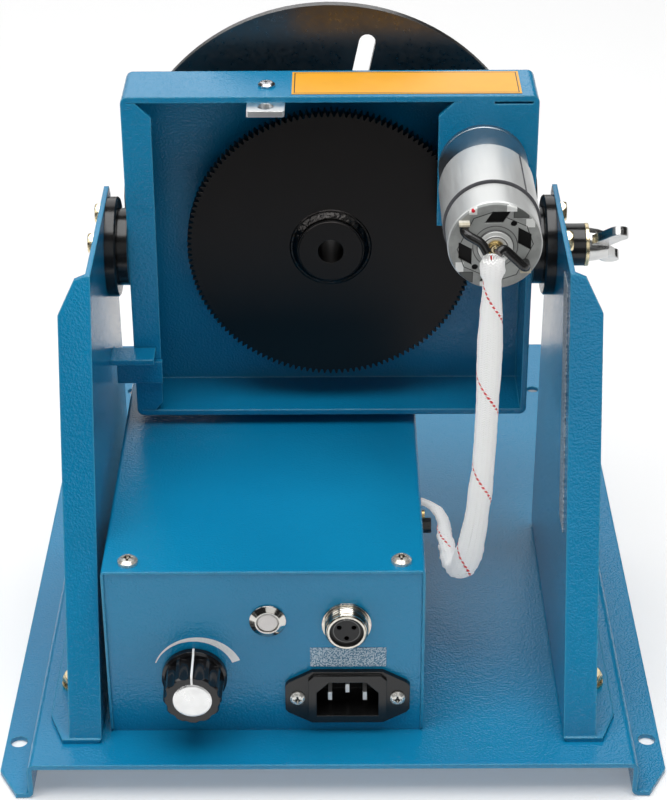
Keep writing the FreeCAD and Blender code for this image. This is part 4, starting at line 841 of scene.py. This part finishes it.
def bearingBrass(s):
    graph = Graph("motor_bearing")
    x, z = s["x"], s["z"]
    grain = graph.noise(900.0, 3.0)
    colour = graph.blend(graph.band(grain, 0.4, 0.7, 0.0, 0.5), s["brass"], s["stain"])
    colour = graph.blend(graph.hoop(x, z, *s["darkHoop"]), colour, s["dark"])
    colour = graph.blend(graph.hoop(x, z, *s["brightHoop"]), colour, s["bright"])
    colour = graph.blend(graph.disc(x, z, s["bore"]), colour, s["dark"])
    graph.put(
        Base_Color=colour,
        Metallic=s["metallic"],
        Roughness=graph.band(grain, 0.3, 0.8, *s["roughness"]),
        Normal=graph.bump(grain, 0.00001, under=graph.rounded(s["edge"])),
    )
    return graph.material


socketSettings = {
    "x": 0.0058,
    "z": 0.0684,
    "insert": 0.00675,
    "core": 0.0052,
    "coreLine": 0.00022,
    "threadFrom": 0.00755,
    "threadPitch": 0.00115,
    "threadDepth": 0.00008,
    "pinFace": -0.1599,
    "key": (0.0, 0.0057, 0.0011, 0.0005),
    "nickel": shade(0.74, 0.71, 0.64),
    "stain": shade(0.30, 0.27, 0.21),
    # painted shade in the thread grooves
    "groove": shade(0.16, 0.14, 0.10),
    "insertColour": shade(0.002, 0.002, 0.002),
    "coreColour": shade(0.012, 0.012, 0.013),
    "lineColour": shade(0.12, 0.12, 0.12),
    # painted shade: black inside the holes behind the pin face
    "holeShade": shade(0.0, 0.0, 0.0),
    "keyColour": shade(0.70, 0.70, 0.68),
    "roughness": (0.16, 0.5),
    "edge": 0.0003,
}


def socketMetal(s):
    graph = Graph("socket")
    x, z = s["x"], s["z"]
    insert = graph.disc(x, z, s["insert"])
    core = graph.disc(x, z, s["core"])
    streak = graph.noise(500.0, 3.0, graph.stretch((1, 6, 1)))
    thread = graph.times(graph.axis("Y"), math.tau / s["threadPitch"])
    thread = graph.calc("SINE", thread)
    outside = graph.calc("GREATER_THAN", graph.away(x, z), s["threadFrom"])
    # painted shade: darker in the troughs of the thread
    groove = graph.times(graph.band(thread, -0.9, 0.2, 0.8, 0.0), outside)
    colour = graph.blend(graph.band(streak, 0.4, 0.7, 0.0, 0.4), s["nickel"], s["stain"])
    colour = graph.blend(groove, colour, s["groove"])
    colour = graph.blend(insert, colour, s["insertColour"])
    colour = graph.blend(core, colour, s["coreColour"])
    line = graph.hoop(x, z, s["core"], s["coreLine"])
    colour = graph.blend(line, colour, s["lineColour"])
    # painted shade in the holes deeper than the pin face
    deep = graph.calc("GREATER_THAN", graph.axis("Y"), s["pinFace"])
    colour = graph.blend(graph.times(core, deep), colour, s["holeShade"])
    dx, dz, halfX, halfZ = s["key"]
    key = graph.patch(x + dx, z + dz, halfX, halfZ)
    colour = graph.blend(key, colour, s["keyColour"])
    height = graph.times(thread, outside)
    graph.put(
        Base_Color=colour,
        Metallic=graph.calc("SUBTRACT", 1.0, insert),
        Roughness=graph.band(insert, 0.0, 1.0, *s["roughness"]),
        Normal=graph.bump(height, s["threadDepth"], under=graph.rounded(s["edge"])),
    )
    return graph.material


screwFinish = {
    "stain": shade(0.45, 0.43, 0.38),
    "metallic": 0.7,
    "roughness": (0.2, 0.34),
    "grainDepth": 0.00001,
    "edge": 0.0004,
}

inletScrewSettings = {
    "name": "inlet_screw",
    "places": ((-0.0139, 0.0338), (0.0261, 0.0338)),
    "second": "Z",
    "bright": shade(0.80, 0.79, 0.74),
    # painted shade: dark disc over the recess of each screw head
    "dark": shade(0.03, 0.03, 0.03),
    "socket": 0.0010,
    **screwFinish,
}

coverScrewSettings = {
    "name": "cover_screw",
    "places": ((-0.0795, -0.1489), (0.0273, -0.1489), (-0.0795, -0.0056), (0.0273, -0.0056)),
    "second": "Y",
    "bright": shade(0.82, 0.78, 0.70),
    # painted shade: dark disc over the recess of each screw head
    "dark": shade(0.06, 0.05, 0.04),
    "socket": 0.0013,
    **screwFinish,
}


def socketScrew(s):
    graph = Graph(s["name"])
    grain = graph.noise(700.0, 3.0)
    stained = graph.band(grain, 0.4, 0.7, 0.0, 0.3)
    colour = graph.blend(stained, s["bright"], s["stain"])
    # painted shade: a dark disc in the recess of each screw head
    for x, other in s["places"]:
        away = graph.away(x, other, s["second"])
        colour = graph.blend(graph.calc("LESS_THAN", away, s["socket"]), colour, s["dark"])
    graph.put(
        Base_Color=colour,
        Metallic=s["metallic"],
        Roughness=graph.band(grain, 0.3, 0.8, *s["roughness"]),
        Normal=graph.bump(grain, s["grainDepth"], under=graph.rounded(s["edge"])),
    )
    return graph.material


topLabelSettings = {
    "name": "top_label",
    "plain": shade(0.86, 0.40, 0.02),
    "border": shade(0.02, 0.02, 0.02),
    "low": (-0.0153, -0.040),
    "high": (0.0769, -0.0155),
    "line": (0.0009, 0.0013),  # from and to, in from the rim
}

frontLabelSettings = {
    "name": "front_label",
    "plain": shade(0.045, 0.16, 0.26),
    "speck": shade(0.42, 0.52, 0.60),
}

sideLabelSettings = {
    "name": "side_label",
    "plain": shade(0.80, 0.82, 0.83),
    "speck": shade(0.12, 0.14, 0.16),
}


# 1 on a thin frame inside the rim of a flat label
def labelFrame(graph, s):
    masks = []
    for inset in s["line"]:
        sides = []
        for letter, low, high in zip("XY", s["low"], s["high"]):
            sides.append(graph.near(letter, (low + high) / 2, (high - low) / 2 - inset))
        masks.append(graph.times(*sides))
    return graph.calc("SUBTRACT", *masks)


def blankLabel(s):
    graph = Graph(s["name"])
    stained = graph.band(graph.noise(120.0, 3.0), 0.35, 0.7, 0.0, 0.25)
    colour = graph.blend(stained, s["plain"], scaled(s["plain"], 0.8))
    if "border" in s:
        colour = graph.blend(labelFrame(graph, s), colour, s["border"])
    if "speck" in s:
        specks = graph.band(graph.noise(1500.0, 2.0), 0.46, 0.54)
        colour = graph.blend(specks, colour, s["speck"])
    graph.put(
        Base_Color=colour,
        Roughness=0.35,
        Normal=graph.bump(graph.noise(900.0, 2.0), 0.00002),
    )
    return graph.material


# the second finish starts where the coordinate is above the border
earthSettings = {
    "name": "earth",
    "first": shade(0.015, 0.015, 0.015),
    "second": shade(0.66, 0.48, 0.2),
    "axis": "Z",
    "border": 0.0768,
    "metallic": (0.0, 1.0),
    "roughness": (0.24, 0.39),
}

terminalSettings = {
    "name": "terminal",
    "first": shade(0.55, 0.50, 0.38),
    "second": shade(0.70, 0.67, 0.58),
    "axis": "Y",
    "border": -0.1205,
    "metallic": (0.0, 0.0),
    "roughness": (0.24, 0.39),
}


def twoTone(s):
    graph = Graph(s["name"])
    side = graph.calc("GREATER_THAN", graph.axis(s["axis"]), s["border"])
    grain = graph.noise(800.0, 3.0)
    graph.put(
        Base_Color=graph.blend(side, s["first"], s["second"]),
        Metallic=graph.band(side, 0.0, 1.0, *s["metallic"]),
        Roughness=graph.band(grain, 0.3, 0.7, *s["roughness"]),
        Normal=graph.bump(grain, 0.00003),
    )
    return graph.material


materials = {
    "paint": bluePaint("blue_paint", paintSettings),
    "panelPaint": bluePaint("panel_paint", paintSettings, scaleSettings),
    "weldedBlack": weldedBlack(weldSettings),
    "knob": knobPlastic(knobSettings),
    "knobCap": spunCap(knobCapSettings),
    "motorCap": motorCap(motorSettings),
    "canSilver": canMetal(canSettings),
    "brass": bearingBrass(bearingSettings),
    "inletScrew": socketScrew(inletScrewSettings),
    "coverScrew": socketScrew(coverScrewSettings),
    "socket": socketMetal(socketSettings),
    "topLabel": blankLabel(topLabelSettings),
    "frontLabel": blankLabel(frontLabelSettings),
    "sideLabel": blankLabel(sideLabelSettings),
    "earth": twoTone(earthSettings),
    "terminal": twoTone(terminalSettings),
}
for finish, settings in metalSettings.items():
    materials[finish] = metal(settings)
for finish, settings in plasticSettings.items():
    materials[finish] = plastic(*settings)
print("materials made", len(materials))

finishes = {
    "paint": "base_plate left_upright right_upright control_cover tilt_box stop_bar stop_tab",
    "panelPaint": "control_chassis",
    "weldedBlack": "spur_gear spindle",
    "blackGear": "circlip",
    "blackBush": "left_bush right_bush left_stub right_stub",
    "zincGold": "foot_bolts foot_washers foot_nuts pivot_bolts pivot_washers wing_washer",
    "inletScrew": "inlet_screws",
    "coverScrew": "cover_screws",
    "zincPlate": "chassis_screws housing_screws motor_screws terminal_screw standoffs "
    "table_screws brush_holder pinion bearings bearing_housing spindle_spacer",
    "castZinc": "wing_nut",
    "gearboxSteel": "gearbox",
    "tableSteel": "table",
    "brass": "motor_bearing",
    "nickel": "power_switch pot_shaft",
    "pins": "inlet_pins",
    "button": "power_button",
    "canSilver": "motor_can",
    "motorCap": "motor_cap",
    "socket": "pedal_socket",
    "earth": "earth_screw",
    "terminal": "motor_terminals",
    "aluminium": "cable_terminal",
    "blackPlastic": "power_inlet potentiometer",
    "knob": "speed_knob",
    "knobCap": "knob_cap",
    "graphite": "ground_brush",
    "board": "power_board",
    "component": "board_parts",
    "topLabel": "top_label",
    "sideLabel": "upright_label",
    "frontLabel": "front_label",
    "wire": "motor_wires",
    "plainBraid": "motor_lead_sleeve",
}
for finish, names in finishes.items():
    for name in names.split():
        data = nodes[name].data
        data.materials.clear()
        data.materials.append(materials[finish])
print("materials assigned")

floorSettings = {
    "low": (-12.0, -12.0, -0.0004),
    "high": (12.0, 12.0, -0.0004),
    "colour": shade(0.78, 0.78, 0.78),
    "glow": 0.20,
    "roughness": 0.7,
}

# a dark card in front of the object, seen only in its reflections
flagSettings = {
    "low": (-1.6, -2.6, 0.001),
    "high": (1.6, -0.40, 0.001),
    "colour": shade(0.03, 0.03, 0.03),
    "roughness": 0.9,
}

# place, size and power of each lamp
lampSettings = {
    "roof": ((0.0, -0.25, 2.3), 2.2, 64.0),
    "side": ((-1.6, -0.9, 1.5), 1.0, 9.0),
    "back": ((-0.35, 2.4, 1.5), 2.2, 18.0),
    "front": ((0.35, -2.1, 1.0), 1.3, 4.6),
}
lampAim = (0, 0, 0.12)
worldStrength = 0.02


def makeCard(name, s):
    mesh = bpy.data.meshes.new(name)
    (left, near, height), (right, far, _) = s["low"], s["high"]
    corners = [(left, near), (right, near), (right, far), (left, far)]
    mesh.from_pydata([(x, y, height) for x, y in corners], [], [(0, 1, 2, 3)])
    card = bpy.data.objects.new(name, mesh)
    bpy.context.scene.collection.objects.link(card)
    graph = Graph(name)
    graph.put(Base_Color=s["colour"], Roughness=s["roughness"])
    if "glow" in s:
        graph.put(Emission_Color=shade(1.0, 1.0, 1.0), Emission_Strength=s["glow"])
    mesh.materials.append(graph.material)
    return card


def makeLight(name, place, size, power):
    data = bpy.data.lights.new(name, "AREA")
    data.shape = "SQUARE"
    data.size = size
    data.energy = power
    light = bpy.data.objects.new(name, data)
    light.location = place
    light.rotation_euler = (Vector(lampAim) - Vector(place)).to_track_quat("-Z", "Y").to_euler()
    bpy.context.scene.collection.objects.link(light)


def makeWorld(strength):
    world = bpy.data.worlds.new("world")
    bpy.context.scene.world = world
    world.use_nodes = True
    background = world.node_tree.nodes["Background"]
    background.inputs["Color"].default_value = shade(1.0, 1.0, 1.0)
    background.inputs["Strength"].default_value = strength


makeCard("floor", floorSettings)
flag = makeCard("flag", flagSettings)
flag.visible_camera = False
flag.visible_diffuse = False
flag.visible_shadow = False
for name, settings in lampSettings.items():
    makeLight(name, *settings)
makeWorld(worldStrength)
bpy.context.scene.view_settings.view_transform = "Standard"
print("stage lit")
